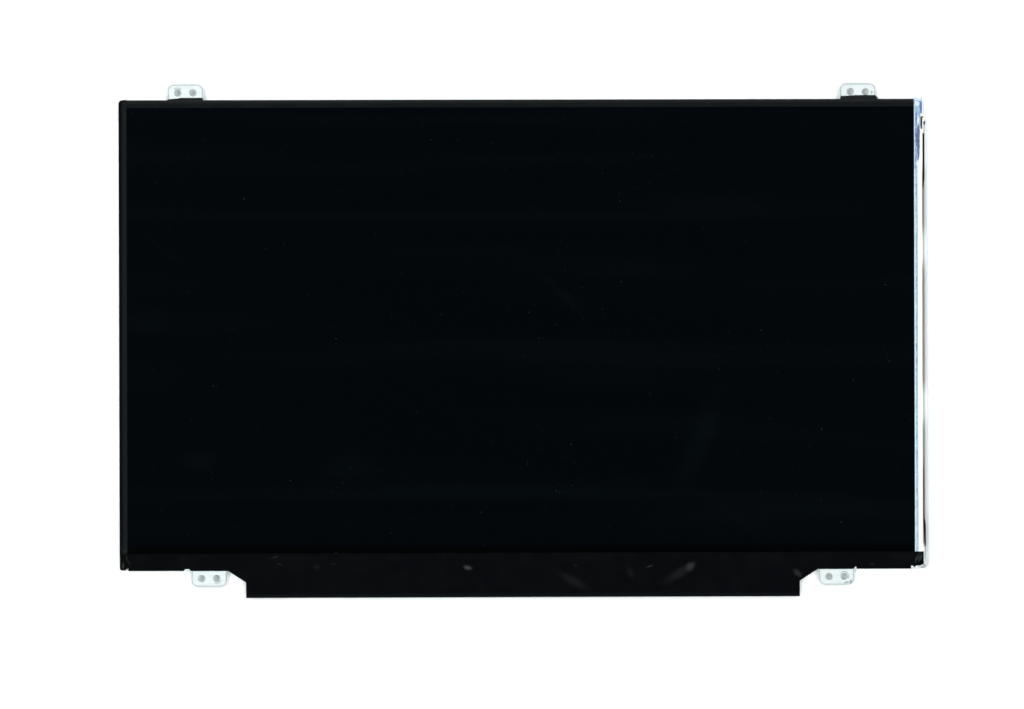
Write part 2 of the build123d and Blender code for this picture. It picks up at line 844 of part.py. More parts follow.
with BuildPart() as top_tape:
    # Plain stretches fold down over the wall, and a tab covers the foot of each ear
    ear_left = -top_ear_offset - ear_width / 2
    ear_right = top_ear_offset + ear_width / 2
    tabs = ((ear_left, top_tab_left), (ear_right - ear_width, top_tab_right))
    spans = (
        (tape_left, tabs[0][0]),
        (tabs[0][0] + ear_width, tabs[1][0]),
        (tabs[1][0] + ear_width, screen_right),
    )
    for start, stop in spans:
        strip(
            Plane.YZ.offset(start),
            stop - start,
            ((screen_top, tape_z), (wrap_y, tape_z), (wrap_y, face_z - tape_wrap)),
            tape,
            tape_fold,
        )
    ear_tape_z = ear_rise + sheet + tape / 2
    for start, reach in tabs:
        strip(
            Plane.YZ.offset(start),
            ear_width,
            (
                (screen_top, tape_z),
                (top_wall_edge, tape_z),
                (half_height + fold_mid, ear_tape_z),
                (half_height + reach, ear_tape_z),
            ),
            tape,
            tape_fold,
        )
keep(top_tape, "top_tape")

with BuildPart() as left_tape:
    # The face of the tape steps down with the rim, and its outer part folds down the side
    with BuildSketch(Plane.YZ.offset(wrap_x - tape / 2)):
        with BuildLine():
            FilletPolyline(
                (half_height, tape_z), (drape_top, tape_z), (drape_foot, low_z), (-half_height, low_z),
                radius=fold_radius,
            )
        trace(line_width=tape)
    extrude(amount=tape_left - wrap_x + tape / 2)
    with BuildSketch(Plane.YZ.offset(wrap_x - tape / 2)):
        with BuildLine():
            Polyline(
                (half_height, face_z),
                (half_height, face_z - tape_wrap),
                (-half_height, face_z - tape_wrap),
                (-half_height, low_z),
                (drape_foot, low_z),
                (drape_top, face_z),
                close=True,
            )
        make_face()
    extrude(amount=tape)
keep(left_tape, "left_tape")

with BuildPart() as bottom_tape:
    with BuildSketch(Plane.YZ.offset(-half_width)):
        with BuildLine():
            FilletPolyline(
                (screen_bottom, tape_z), (drape_top, tape_z),
                (drape_foot, film_tape_z), (board_bottom, film_tape_z),
                radius=fold_radius,
            )
        trace(line_width=tape)
    extrude(amount=cover_width)
    # Cut to the outline of the tape: shoulders beside the board and a cut corner at the right
    shoulder_x = board_width / 2
    with BuildSketch(Plane.XY.offset(step_z)) as tape_outline:
        with BuildLine():
            Polyline(
                (tape_left, screen_bottom),
                (tape_end, screen_bottom),
                (tape_end, -half_height + tape_corner_cut),
                (tape_end - tape_corner_run, -half_height + tape_corner_cut),
                (tape_end - tape_corner_run, -half_height),
                (shoulder_x + shoulder_run, -half_height),
                (shoulder_x, -half_height - shoulder_drop),
                (shoulder_x, board_bottom),
                (-shoulder_x, board_bottom),
                (-shoulder_x, -half_height - shoulder_drop),
                (-shoulder_x - shoulder_run, -half_height),
                (tape_left, -half_height),
                close=True,
            )
        make_face()
    extrude(amount=face_z, mode=Mode.INTERSECT)
keep(bottom_tape, "bottom_tape")

# Scrap of clear film, torn to a tongue along the bare margin of the glass
scrap_left = screen_right + scrap_gap
scrap_right = frame_x - recess_depth - scrap_gap
scrap_top = half_height + scrap_over
scrap_bottom = scrap_top - scrap_length
with BuildPart() as side_film_scrap:
    with BuildSketch(Plane.XY.offset(face_z)):
        with BuildLine():
            Polyline(
                (scrap_left, scrap_top),
                (scrap_right, scrap_top),
                (scrap_right, scrap_top - scrap_head),
                (scrap_left + scrap_neck, scrap_top - scrap_head),
                (scrap_left + scrap_neck, scrap_bottom + scrap_taper),
                (scrap_left + scrap_foot, scrap_bottom),
                (scrap_left, scrap_bottom),
                close=True,
            )
        make_face()
    extrude(amount=scrap_thick)
keep(side_film_scrap, "side_film_scrap")
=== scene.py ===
import math

import bmesh
import bpy
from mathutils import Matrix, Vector


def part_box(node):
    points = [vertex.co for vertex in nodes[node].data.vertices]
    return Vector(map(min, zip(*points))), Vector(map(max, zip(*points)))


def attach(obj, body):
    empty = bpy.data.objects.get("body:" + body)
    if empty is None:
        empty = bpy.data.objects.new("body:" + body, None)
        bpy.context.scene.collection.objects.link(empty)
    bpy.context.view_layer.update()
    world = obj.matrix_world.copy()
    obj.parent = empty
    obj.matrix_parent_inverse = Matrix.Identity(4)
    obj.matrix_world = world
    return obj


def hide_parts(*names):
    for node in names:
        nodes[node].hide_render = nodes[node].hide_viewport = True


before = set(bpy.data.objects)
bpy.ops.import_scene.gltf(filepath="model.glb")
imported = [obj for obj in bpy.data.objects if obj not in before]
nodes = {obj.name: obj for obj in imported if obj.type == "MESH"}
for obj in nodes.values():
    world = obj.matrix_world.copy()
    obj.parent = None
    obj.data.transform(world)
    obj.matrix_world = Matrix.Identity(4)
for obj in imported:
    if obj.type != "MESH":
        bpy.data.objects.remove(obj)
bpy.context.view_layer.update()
mm = 0.001

# Sizes of the panel that the pieces below are fitted to, in millimetres
tape = 0.08
cover_edge = 93.4
wall_edge = 93.3
drape_head = -87.4
drape_foot = -89.0
board_half = 110.0
shoulder = 117.1
shoulder_foot = -98.0
top_ear = 133.6
low_ear = 124.65
ear_half = 6.9
ear_reach = 6.2
ear_corner = 2.2
ear_rim = 0.60
hole_row = 96.4
hole_step = 3.0
hole_radius = 1.25
board_middle = -99.1
lead_start = 2.201


def box_mm(node):
    """Lowest and highest corner of a CAD node in millimetres."""
    low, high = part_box(node)
    return low / mm, high / mm


# Nodes of the finishes


class Bench:
    """Holds the node tree that is being filled."""

    tree = None


def put(kind, inputs=None, **menus):
    """Add a node, set its menus, and fill or wire its sockets by name or number."""
    tree = Bench.tree
    node = tree.nodes.new(kind)
    for name, value in menus.items():
        setattr(node, name, value)
    for name, value in (inputs or {}).items():
        if isinstance(value, bpy.types.NodeSocket):
            tree.links.new(value, node.inputs[name])
        else:
            node.inputs[name].default_value = value
    return node


def calc(operation, *values):
    """Work out one value from others."""
    return put("ShaderNodeMath", dict(enumerate(values)), operation=operation).outputs[0]


def times(*values):
    """The product of two values."""
    return calc("MULTIPLY", *values)


def most(*masks):
    """The strongest of some masks at each place."""
    together = masks[0]
    for mask in masks[1:]:
        together = calc("MAXIMUM", together, mask)
    return together


def vector(operation, *values):
    """Work out one vector from others."""
    return put("ShaderNodeVectorMath", dict(enumerate(values)), operation=operation).outputs[0]


def length(reach):
    """How long a vector is."""
    return put("ShaderNodeVectorMath", {0: reach}, operation="LENGTH").outputs["Value"]


def surface_place():
    """Object coordinates of the surface."""
    return put("ShaderNodeTexCoord").outputs["Object"]


def place_on(axis):
    """One Object coordinate of the surface."""
    return put("ShaderNodeSeparateXYZ", {0: surface_place()}).outputs["XYZ".index(axis)]


def turned(place, angle, invert=False):
    """A place turned about the panel's normal."""
    turn = {"Vector": place, "Angle": angle}
    return put("ShaderNodeVectorRotate", turn, rotation_type="Z_AXIS", invert=invert).outputs[0]


def spread(value, start, stop, low=0.0, high=1.0):
    """Stretch a value's range, smoothly and clamped at both ends."""
    sockets = {0: value, 1: start, 2: stop, 3: low, 4: high}
    return put("ShaderNodeMapRange", sockets, interpolation_type="SMOOTHSTEP").outputs[0]


def between(mask, low, high):
    """A value that goes from low to high with a mask."""
    return spread(mask, 0.0, 1.0, low, high)


def fade(axis, start, stop, low=0.0, high=1.0):
    """A value that changes along one axis of the panel, between two places in millimetres."""
    return spread(place_on(axis), start * mm, stop * mm, low, high)


def tint(mask, bare, covered):
    """A colour that goes from bare to covered with a mask."""
    sockets = {0: mask}
    for number, colour in ((6, bare), (7, covered)):
        sockets[number] = colour if isinstance(colour, bpy.types.NodeSocket) else (*colour, 1)
    return put("ShaderNodeMix", sockets, data_type="RGBA").outputs[2]


def effect(name, sockets, output):
    """Start a shared effect as a node group with named sockets."""
    group = bpy.data.node_groups.new(name, "ShaderNodeTree")
    Bench.tree = group
    for label, kind, value in sockets:
        socket = group.interface.new_socket(label, in_out="INPUT", socket_type="NodeSocket" + kind)
        socket.default_value = value
    group.interface.new_socket(output, in_out="OUTPUT", socket_type="NodeSocketFloat")
    return group, group.nodes.new("NodeGroupInput").outputs, group.nodes.new("NodeGroupOutput")


def turned_place(entry):
    """Object coordinates, turned about the panel's normal and stretched."""
    return vector("MULTIPLY", turned(surface_place(), entry["Turn"]), entry["Stretch"])


def make_speck_effect():
    """Scattered specks, or short scratches where the stretch is long."""
    group, entry, leave = effect(
        "specks",
        (
            ("Stretch", "Vector", (1, 1, 1)), ("Turn", "Float", 0.0), ("Density", "Float", 900.0),
            ("Size", "Float", 0.1), ("Share", "Float", 0.1),
        ),
        "Mask",
    )
    lattice = {"Vector": turned_place(entry), "Scale": entry["Density"]}
    cells = put("ShaderNodeTexVoronoi", lattice)
    inside = calc("SUBTRACT", 1.0, calc("DIVIDE", cells.outputs["Distance"], entry["Size"]))
    lot = put("ShaderNodeSeparateColor", {0: cells.outputs["Color"]}).outputs[0]
    chosen = calc("LESS_THAN", lot, entry["Share"])
    mask = times(spread(inside, 0.0, 0.6), chosen)
    group.links.new(mask, leave.inputs["Mask"])
    return group


def make_mottle_effect():
    """Cloudy change over a surface, or streaks where it is stretched."""
    group, entry, leave = effect(
        "mottle",
        (
            ("Stretch", "Vector", (1, 1, 1)), ("Turn", "Float", 0.0), ("Scale", "Float", 200.0),
            ("Detail", "Float", 3.0), ("Low", "Float", 0.35), ("High", "Float", 0.65),
        ),
        "Value",
    )
    cloud = put(
        "ShaderNodeTexNoise",
        {"Vector": turned_place(entry), "Scale": entry["Scale"], "Detail": entry["Detail"]},
    )
    group.links.new(spread(cloud.outputs[0], entry["Low"], entry["High"]), leave.inputs["Value"])
    return group


def make_ring_effect():
    """A ring, or a dot where the radius is nothing, round a point of the panel."""
    group, entry, leave = effect(
        "ring_mark",
        (("Centre", "Vector", (0, 0, 0)), ("Radius", "Float", 0.002), ("Width", "Float", 0.0003)),
        "Mask",
    )
    place = surface_place()
    level = vector("MULTIPLY", vector("SUBTRACT", place, entry["Centre"]), (1, 1, 0))
    reach = length(level)
    away = calc("ABSOLUTE", calc("SUBTRACT", reach, entry["Radius"]))
    mask = calc("SUBTRACT", 1.0, calc("DIVIDE", away, entry["Width"]))
    group.links.new(spread(mask, 0.0, 0.7), leave.inputs["Mask"])
    return group


def make_patch_effect():
    """A soft, ragged patch round a point of the panel, turned about the panel's normal."""
    group, entry, leave = effect(
        "ragged_patch",
        (
            ("Centre", "Vector", (0, 0, 0)), ("Half Size", "Vector", (0.001, 0.001, 1)),
            ("Ragged", "Float", 0.0005), ("Turn", "Float", 0.0), ("Core", "Float", 0.75),
        ),
        "Mask",
    )
    place = surface_place()
    noise = {"Vector": place, "Scale": 900.0, "Detail": 3.0}
    cloud = put("ShaderNodeTexNoise", noise).outputs["Color"]
    even = vector("SUBTRACT", cloud, (0.5, 0.5, 0.5))
    stray = put("ShaderNodeVectorMath", {0: even, 3: entry["Ragged"]}, operation="SCALE").outputs[0]
    moved = vector("ADD", place, stray)
    offset = vector("SUBTRACT", moved, entry["Centre"])
    share = vector("DIVIDE", turned(offset, entry["Turn"], True), entry["Half Size"])
    reach = length(share)
    group.links.new(spread(reach, 1.15, entry["Core"]), leave.inputs["Mask"])
    return group


def make_rim_effect():
    """A line just inside the rounded outline of a stamped tongue."""
    group, entry, leave = effect(
        "stamped_rim",
        (
            ("Centre", "Vector", (0, 0, 0)), ("Half Size", "Vector", (0.01, 0.01, 0)),
            ("Corner", "Float", 0.002), ("Width", "Float", 0.0003),
        ),
        "Mask",
    )
    place = surface_place()
    offset = vector("SUBTRACT", place, entry["Centre"])
    folded = vector("ABSOLUTE", offset)
    past = vector("SUBTRACT", folded, entry["Half Size"])
    sides = put("ShaderNodeSeparateXYZ", {0: past})
    legs = []
    for side in sides.outputs[:2]:
        legs.append(most(calc("ADD", side, entry["Corner"]), 0.0))
    squares = [times(leg, leg) for leg in legs]
    reach = calc("SQRT", calc("ADD", squares[0], squares[1]))
    away = calc("ABSOLUTE", calc("SUBTRACT", entry["Corner"], reach))
    mask = calc("SUBTRACT", 1.0, calc("DIVIDE", away, entry["Width"]))
    group.links.new(spread(mask, 0.0, 1.0), leave.inputs["Mask"])
    return group


specks_effect = make_speck_effect()
mottle_effect = make_mottle_effect()
ring_effect = make_ring_effect()
patch_effect = make_patch_effect()
rim_effect = make_rim_effect()


def specks(density, size, share, stretch=(1, 1, 1), turn=0.0):
    """Place the speck effect in a finish."""
    values = {"Density": density, "Size": size, "Share": share, "Stretch": stretch, "Turn": turn}
    return put("ShaderNodeGroup", values, node_tree=specks_effect).outputs[0]


def mottle(scale, low=0.35, high=0.65, detail=3.0, stretch=(1, 1, 1), turn=0.0):
    """Place the mottle effect in a finish."""
    values = {"Scale": scale, "Low": low, "High": high, "Detail": detail, "Stretch": stretch, "Turn": turn}
    return put("ShaderNodeGroup", values, node_tree=mottle_effect).outputs[0]


def ring(x, y, radius, width):
    """Place the ring effect in a finish, in millimetres."""
    values = {"Centre": (x * mm, y * mm, 0), "Radius": radius * mm, "Width": width * mm}
    return put("ShaderNodeGroup", values, node_tree=ring_effect).outputs[0]


def patch(x, y, half_x, half_y, ragged=0.5, degrees=0.0, core=0.75):
    """Place the patch effect in a finish, in millimetres, soft from its core outwards."""
    values = {
        "Centre": (x * mm, y * mm, 0), "Half Size": (half_x * mm, half_y * mm, 1),
        "Ragged": ragged * mm, "Turn": math.radians(degrees), "Core": core,
    }
    return put("ShaderNodeGroup", values, node_tree=patch_effect).outputs[0]


def stamped_rim(x, y):
    """Place the rim effect round one mounting ear, in millimetres."""
    values = {
        "Centre": (x * mm, y * mm, 0), "Half Size": (ear_half * mm, ear_reach * mm, 0),
        "Corner": ear_corner * mm, "Width": ear_rim * mm,
    }
    return put("ShaderNodeGroup", values, node_tree=rim_effect).outputs[0]


def slit_shadow():
    """Mask of the slit by the sprung right wall, deeper towards the wall's two ends."""
    upper = times(fade("Y", 56.0, 63.0), fade("Y", 81.6, 79.0))
    tip = fade("Y", 82.8, 83.6, 0.0, 1.4)
    foot = most(fade("Y", -44.0, -58.0, 0.0, 0.4), fade("Y", -70.0, -77.0))
    lower = times(foot, fade("Y", -85.8, -83.8))
    least = 0.10
    deepening = 1.45
    ends = most(upper, lower, tip)
    level = calc("MULTIPLY_ADD", ends, deepening * mm, least * mm)
    below = calc("SUBTRACT", level, place_on("Z"))
    deep = spread(below, -0.12 * mm, 0.18 * mm)
    frame_side = 158.5
    return times(deep, calc("GREATER_THAN", place_on("X"), frame_side * mm))


def finish(name, constants):
    """Start a finish with the values that are the same all over it."""
    material = bpy.data.materials.new(name)
    material.use_nodes = True
    Bench.tree = material.node_tree
    surface = Bench.tree.nodes["Principled BSDF"]
    for socket, value in constants.items():
        surface.inputs[socket].default_value = value
    return material, surface


def wire(surface, **sockets):
    """Join what changes over the surface to its sockets."""
    names = {"colour": "Base Color", "rough": "Roughness", "metal": "Metallic", "alpha": "Alpha"}
    for name, value in sockets.items():
        Bench.tree.links.new(value, surface.inputs[names[name]])


def relief(surface, height, depth):
    """Raise the surface by a height, in millimetres of depth."""
    bump = put("ShaderNodeBump", {"Height": height, "Strength": 1.0, "Distance": depth * mm})
    Bench.tree.links.new(bump.outputs[0], surface.inputs["Normal"])


# Finishes


def make_polarizer():
    """Dark anti-glare film with faint haze, wipe marks and dust."""
    material, surface = finish("anti_glare_polarizer", {"Specular IOR Level": 0.04})
    bands = mottle(1.0, 0.45, 0.75, 2.0, (4, 55, 1))
    wipes = mottle(1.0, 0.55, 0.85, 4.0, (14, 160, 1), 0.7)
    haze = calc("MULTIPLY_ADD", wipes, 0.08, times(bands, 0.5))
    for x, y, half_x, half_y, degrees, strength in (
        (70.3, -43.0, 27.5, 7.0, 67, 0.55),
        (-128.5, -49.8, 10.0, 6.0, 0, 0.50),
        (-69.8, -51.6, 15.0, 8.0, 10, 0.40),
        (-148.6, 3.8, 9.0, 3.0, 0, 0.50),
        (16.7, 15.6, 15.0, 3.0, -43, 0.50),
        (-20.0, 47.4, 190.0, 3.5, 0, 0.40),
        (-10.0, -63.4, 190.0, 3.0, 0, 0.35),
    ):
        smear = patch(x, y, half_x, half_y, 6.0, degrees, 0.0)
        haze = calc("MULTIPLY_ADD", smear, strength, haze)
    film = tint(haze, (0.0004, 0.0012, 0.0019), (0.0014, 0.0025, 0.0034))
    shaded = tint(fade("Y", -82.0, -86.2), film, (0.0002, 0.0004, 0.0005))
    fine_dust = times(specks(300, 0.07, 0.65), 0.36)
    lint = times(specks(90, 0.05, 0.08, (1, 0.12, 1), 0.9), 0.35)
    bright_dust = times(specks(160, 0.045, 0.40), 0.65)
    loose = most(bright_dust, fine_dust, lint)
    colour = tint(loose, shaded, (0.034, 0.040, 0.043))
    wire(surface, colour=colour, rough=between(wipes, 0.20, 0.26))
    relief(surface, mottle(5200, 0.2, 0.8, 1.0), 0.0025)
    return material


def make_tape(name, dark, light, dust_colour, gloss, shades, glints=()):
    """Matt black tape with a fine emboss, dust, rubs, lighter and darker bands to its sides, some of them
    painted highlight and shade, and painted highlights on wrinkles.
    """
    material, surface = finish(name, {"Specular IOR Level": gloss})
    rubbed = mottle(150, 0.40, 0.75, 5.0)
    film = tint(rubbed, dark, light)
    for axis, start, stop, shade in shades:
        film = tint(fade(axis, start, stop), film, shade)
    # Painted highlights on the wrinkles, patch by patch
    for x, y, half_x, half_y, degrees, strength in glints:
        painted_lighting = times(patch(x, y, half_x, half_y, 0.9, degrees, 0.0), strength)
        film = tint(painted_lighting, film, (0.030, 0.034, 0.036))
    dust = most(specks(900, 0.10, 0.10), specks(260, 0.08, 0.12, (1, 0.15, 1), 1.2))
    wire(surface, colour=tint(times(dust, 0.5), film, dust_colour))
    wire(surface, rough=between(rubbed, 0.52, 0.36))
    emboss = mottle(4200, 0.3, 0.7, 1.0)
    grain = calc("MULTIPLY_ADD", mottle(260, 0.2, 0.8, 3.0), 4.0, emboss)
    relief(surface, grain, 0.006)
    return material


def make_moulding():
    """White moulded plastic, a little mottled, with grey dust, painted shade lower down, a painted shade
    line and a painted shadow by the slit, and a bluish grey patch at its lower right corner.
    """
    material, surface = finish("white_moulded_plastic", {"Specular IOR Level": 0.4})
    cloud = mottle(90, 0.3, 0.7, 4.0)
    base = tint(cloud, (0.64, 0.67, 0.68), (0.69, 0.71, 0.71))
    # Painted shade: darker lower down, but not on the outer side that faces the right wall
    deep = fade("Z", 2.1, 0.6)
    inner = fade("X", 159.19, 159.0)
    shaded = tint(times(deep, inner), base, (0.24, 0.25, 0.245))
    # Painted shade line along the outer top edge by the slit, with two pale gaps in it
    above_foot = fade("Y", -86.0, -82.0)
    span = times(above_foot, fade("Y", 70.0, 62.0))
    for pale_gap in (34.5, -28.0):
        bare = patch(159.0, pale_gap, 3.0, 9.0, 1.0, 0, 0.3)
        span = times(span, calc("SUBTRACT", 1.0, bare))
    slit_edge_shade = times(span, fade("X", 158.84, 159.04, 0.0, 0.9))
    # Painted shadow in the slot by the upper end of the right wall
    leg = times(patch(158.45, 84.4, 0.5, 2.7, 0.2, 0, 0.7), 0.85)
    edge_shaded = tint(most(slit_edge_shade, leg), shaded, (0.10, 0.10, 0.095))
    # A bluish grey patch on the lower right corner of the frame
    corner_patch = times(patch(157.2, -92.45, 0.70, 0.28, 0.3, 0, 0.4), 0.85)
    corner_marked = tint(corner_patch, edge_shaded, (0.20, 0.23, 0.31))
    dusty = tint(specks(700, 0.12, 0.08), corner_marked, (0.30, 0.31, 0.31))
    wire(surface, colour=tint(slit_shadow(), dusty, (0.03, 0.026, 0.022)))
    wire(surface, rough=between(cloud, 0.42, 0.56))
    relief(surface, mottle(3000, 0.3, 0.7, 2.0), 0.004)
    return material


def make_aluminium():
    """Rolled aluminium sheet: grain along the width, stains, scratches, scuffs and screw marks, folds less
    metallic and painted lighter, and painted shade along the ears' edges, round their holes, in the slit
    and by both ends of the right wall.
    """
    material, surface = finish("rolled_aluminium", {"Specular IOR Level": 0.5})
    grain = mottle(1.0, 0.25, 0.75, 4.0, (60, 4200, 4200))
    stain = mottle(38, 0.42, 0.72, 5.0)
    bare = tint(grain, (0.53, 0.595, 0.60), (0.58, 0.64, 0.645))
    dull = tint(times(stain, 0.30), bare, (0.49, 0.54, 0.54))
    normal = put("ShaderNodeNewGeometry").outputs["Normal"]
    facing = put("ShaderNodeSeparateXYZ", {0: normal}).outputs
    # Painted light: folds and walls lighter than the flat sheet, less so lower down
    folded = spread(calc("ABSOLUTE", facing[2]), 0.98, 0.70)
    fold_shade = tint(fade("Y", -66.0, -80.0), (0.93, 0.95, 0.96), (0.72, 0.75, 0.75))
    folds_painted = tint(folded, dull, fold_shade)
    rubs = mottle(900, 0.40, 0.50, 2.0)
    rings = [
        times(ring(x, y, 1.92, 0.24), patch(x + aside, y + above, 1.7, 0.9, 0.8))
        for x, y, aside, above in (
            (-top_ear - hole_step, hole_row, 0.0, 1.7),
            (-low_ear + hole_step, -hole_row, 0.5, -1.5),
            (low_ear + hole_step, -hole_row, 0.2, 1.5),
            (low_ear + hole_step, -hole_row, 1.6, 0.0),
        )
    ]
    scratches = [
        specks(120, 0.07, 0.20, (1, 0.05, 1), 0.5),
        specks(150, 0.06, 0.16, (0.06, 1, 1), 0.25),
    ]
    scuffs = [
        patch(low_ear + 4.4, -cover_edge - 5.4, 1.6, 0.35, 1.0),
        patch(low_ear + 5.9, -cover_edge - 4.9, 0.6, 0.9, 0.9),
        patch(top_ear + 5.6, hole_row - 0.4, 0.4, 0.9, 0.8),
    ]
    ears = [(hand * offset, end) for end, offset in ((1, top_ear), (-1, low_ear)) for hand in (-1, 1)]
    # Painted shade just inside the edges of the ears
    painted_edge_shades = [stamped_rim(x, end * cover_edge) for x, end in ears]
    # Painted shadow round the rim of each hole in the ears
    painted_hole_shadows = [
        ring(x + step, end * hole_row, hole_radius - 0.05, 0.26)
        for x, end in ears
        for step in (-hole_step, hole_step)
    ]
    # Painted shadow lines by the upper end of the right wall and round the lower right corner
    painted_shadow_lines = [
        patch(160.05, 85.0, 0.32, 1.9, 0.3, 9, 0.3),
        patch(160.02, -92.20, 0.30, 0.42, 0.1, 0, 0.5),
        patch(159.60, -92.72, 0.42, 0.22, 0.1, 30, 0.5),
        patch(158.85, -93.10, 0.50, 0.18, 0.1, 12, 0.5),
        patch(155.70, -93.20, 1.00, 0.28, 0.2, 0, 0.5),
    ]
    # Wear marks and the painted shadow lines share one dark colour
    wear_and_painted_shadow = most(*rings, times(most(*scuffs), rubs), *painted_shadow_lines, *scratches)
    marked = tint(times(wear_and_painted_shadow, 0.80), folds_painted, (0.18, 0.21, 0.22))
    ear_root = (cover_edge + 0.4) * mm
    on_ears = calc("GREATER_THAN", calc("ABSOLUTE", place_on("Y")), ear_root)
    # Painted edge shade, on the ears only
    rim = times(most(*painted_edge_shades), times(on_ears, 0.8))
    edged = tint(rim, marked, (0.17, 0.20, 0.21))
    hole_shaded = tint(most(*painted_hole_shadows), edged, (0.02, 0.025, 0.025))
    inward = calc("LESS_THAN", facing[0], 0.05)
    upward = calc("GREATER_THAN", facing[2], -0.5)
    slit = times(slit_shadow(), times(inward, upward))
    wire(surface, colour=tint(slit, hole_shaded, (0.010, 0.011, 0.010)))
    matt_folds = between(folded, 1.0, 0.2)
    wire(surface, metal=times(between(stain, 0.35, 0.20), matt_folds))
    wire(surface, rough=between(grain, 0.40, 0.54))
    relief(surface, calc("SUBTRACT", grain, times(wear_and_painted_shadow, 1.5)), 0.004)
    return material


def make_margin_glass():
    """The bare margin of the glass: pale cyan by the picture, with a darker blue band of painted shade
    near its outer edge, streaked and speckled.
    """
    gloss = {"Coat Weight": 0.3, "Coat Roughness": 0.05, "IOR": 1.5}
    material, surface = finish("bare_glass_margin", gloss)
    streaks = mottle(1.0, 0.40, 0.62, 4.0, (2600, 150, 1))
    cloud = mottle(900, 0.35, 0.65, 2.0)
    # Painted shade: a darker blue band near the glass's outer edge
    outer = times(fade("X", 156.2, 156.6), fade("X", 157.0, 156.8))
    base = tint(outer, (0.49, 0.665, 0.755), (0.25, 0.39, 0.51))
    lines = times(streaks, between(outer, 0.20, 0.70))
    streaked = tint(lines, base, (0.18, 0.28, 0.39))
    pale = tint(times(cloud, 0.35), streaked, (0.50, 0.61, 0.66))
    blots = mottle(1.0, 0.50, 0.62, 3.0, (1100, 330, 1))
    dirt = times(most(specks(1500, 0.22, 0.25), blots), outer)
    wire(surface, colour=tint(dirt, pale, (0.17, 0.24, 0.33)))
    wire(surface, rough=between(cloud, 0.10, 0.32))
    return material


def make_film_scrap():
    """A crumpled scrap of clear film, painted with cyan, blue, slate and lavender highlights and shade
    along its crumples.
    """
    material, surface = finish("crumpled_clear_film", {"Coat Weight": 0.5, "Coat Roughness": 0.05})
    fold = mottle(1.0, 0.42, 0.58, 3.0, (2100, 330, 1), 0.10)
    painted_sheen = mottle(1.0, 0.46, 0.60, 2.0, (2900, 420, 1), -0.16)
    # Painted shade and sheen: the crumples in lighter and darker blue, with a pale cyan painted sheen
    colour = tint(fold, (0.30, 0.45, 0.60), (0.12, 0.20, 0.42))
    colour = tint(times(painted_sheen, 0.6), colour, (0.50, 0.66, 0.72))
    deep_blue = (0.07, 0.12, 0.36)
    slate = (0.08, 0.10, 0.17)
    cyan_white = (0.62, 0.74, 0.78)
    # Painted highlights in cyan white and painted shade in deep blue and slate, patch by patch
    for x, y, half_x, half_y, shade in (
        (155.95, 80.0, 0.16, 14.0, cyan_white),
        (157.5, 93.2, 1.5, 0.5, cyan_white),
        (157.0, 91.5, 1.0, 1.1, cyan_white),
        (158.5, 90.0, 0.5, 2.3, deep_blue),
        (156.65, 85.4, 0.25, 3.0, deep_blue),
        (157.5, 84.6, 0.45, 2.7, cyan_white),
        (157.5, 79.4, 0.60, 4.2, slate),
        (157.5, 73.4, 0.40, 4.4, slate),
        (156.9, 77.0, 0.30, 3.0, slate),
        (156.6, 79.6, 0.20, 2.6, deep_blue),
        (157.4, 67.4, 0.7, 1.7, cyan_white),
        (155.9, 91.8, 0.35, 0.4, slate),
    ):
        painted_lighting = times(patch(x, y, half_x, half_y, 0.9), 0.85)
        colour = tint(painted_lighting, colour, shade)
    wire(surface, colour=colour)
    wire(surface, rough=between(fold, 0.08, 0.25))
    wire(surface, alpha=between(fold, 0.70, 0.95))
    return material


def make_plain_film(name, pale, deep, scale, stretch, roughness):
    """A backlight layer: a film with a fine regular texture."""
    material, surface = finish(name, {"Specular IOR Level": 0.45})
    texture = mottle(scale, 0.3, 0.7, 1.0, stretch)
    wire(surface, colour=tint(texture, pale, deep))
    wire(surface, rough=between(texture, roughness, roughness + 0.12))
    relief(surface, texture, 0.01)
    return material


def make_amber_film(name, film, copper, pitch, stretch):
    """Amber flexible circuit with fine copper lines under its cover film."""
    gloss = {"Coat Weight": 0.4, "Coat Roughness": 0.15, "Specular IOR Level": 0.5}
    material, surface = finish(name, gloss)
    place = surface_place()
    scaled = vector("MULTIPLY", place, stretch)
    rows = {"Vector": scaled, "Scale": pitch, "Distortion": 0.4}
    waves = put("ShaderNodeTexWave", rows, bands_direction="X")
    lines = spread(waves.outputs["Fac"], 0.55, 0.75)
    cloud = mottle(300)
    base = tint(times(cloud, 0.35), film, (0.30, 0.13, 0.03))
    wire(surface, colour=tint(times(lines, 0.6), base, copper))
    wire(surface, rough=between(cloud, 0.22, 0.38))
    relief(surface, lines, 0.008)
    return material


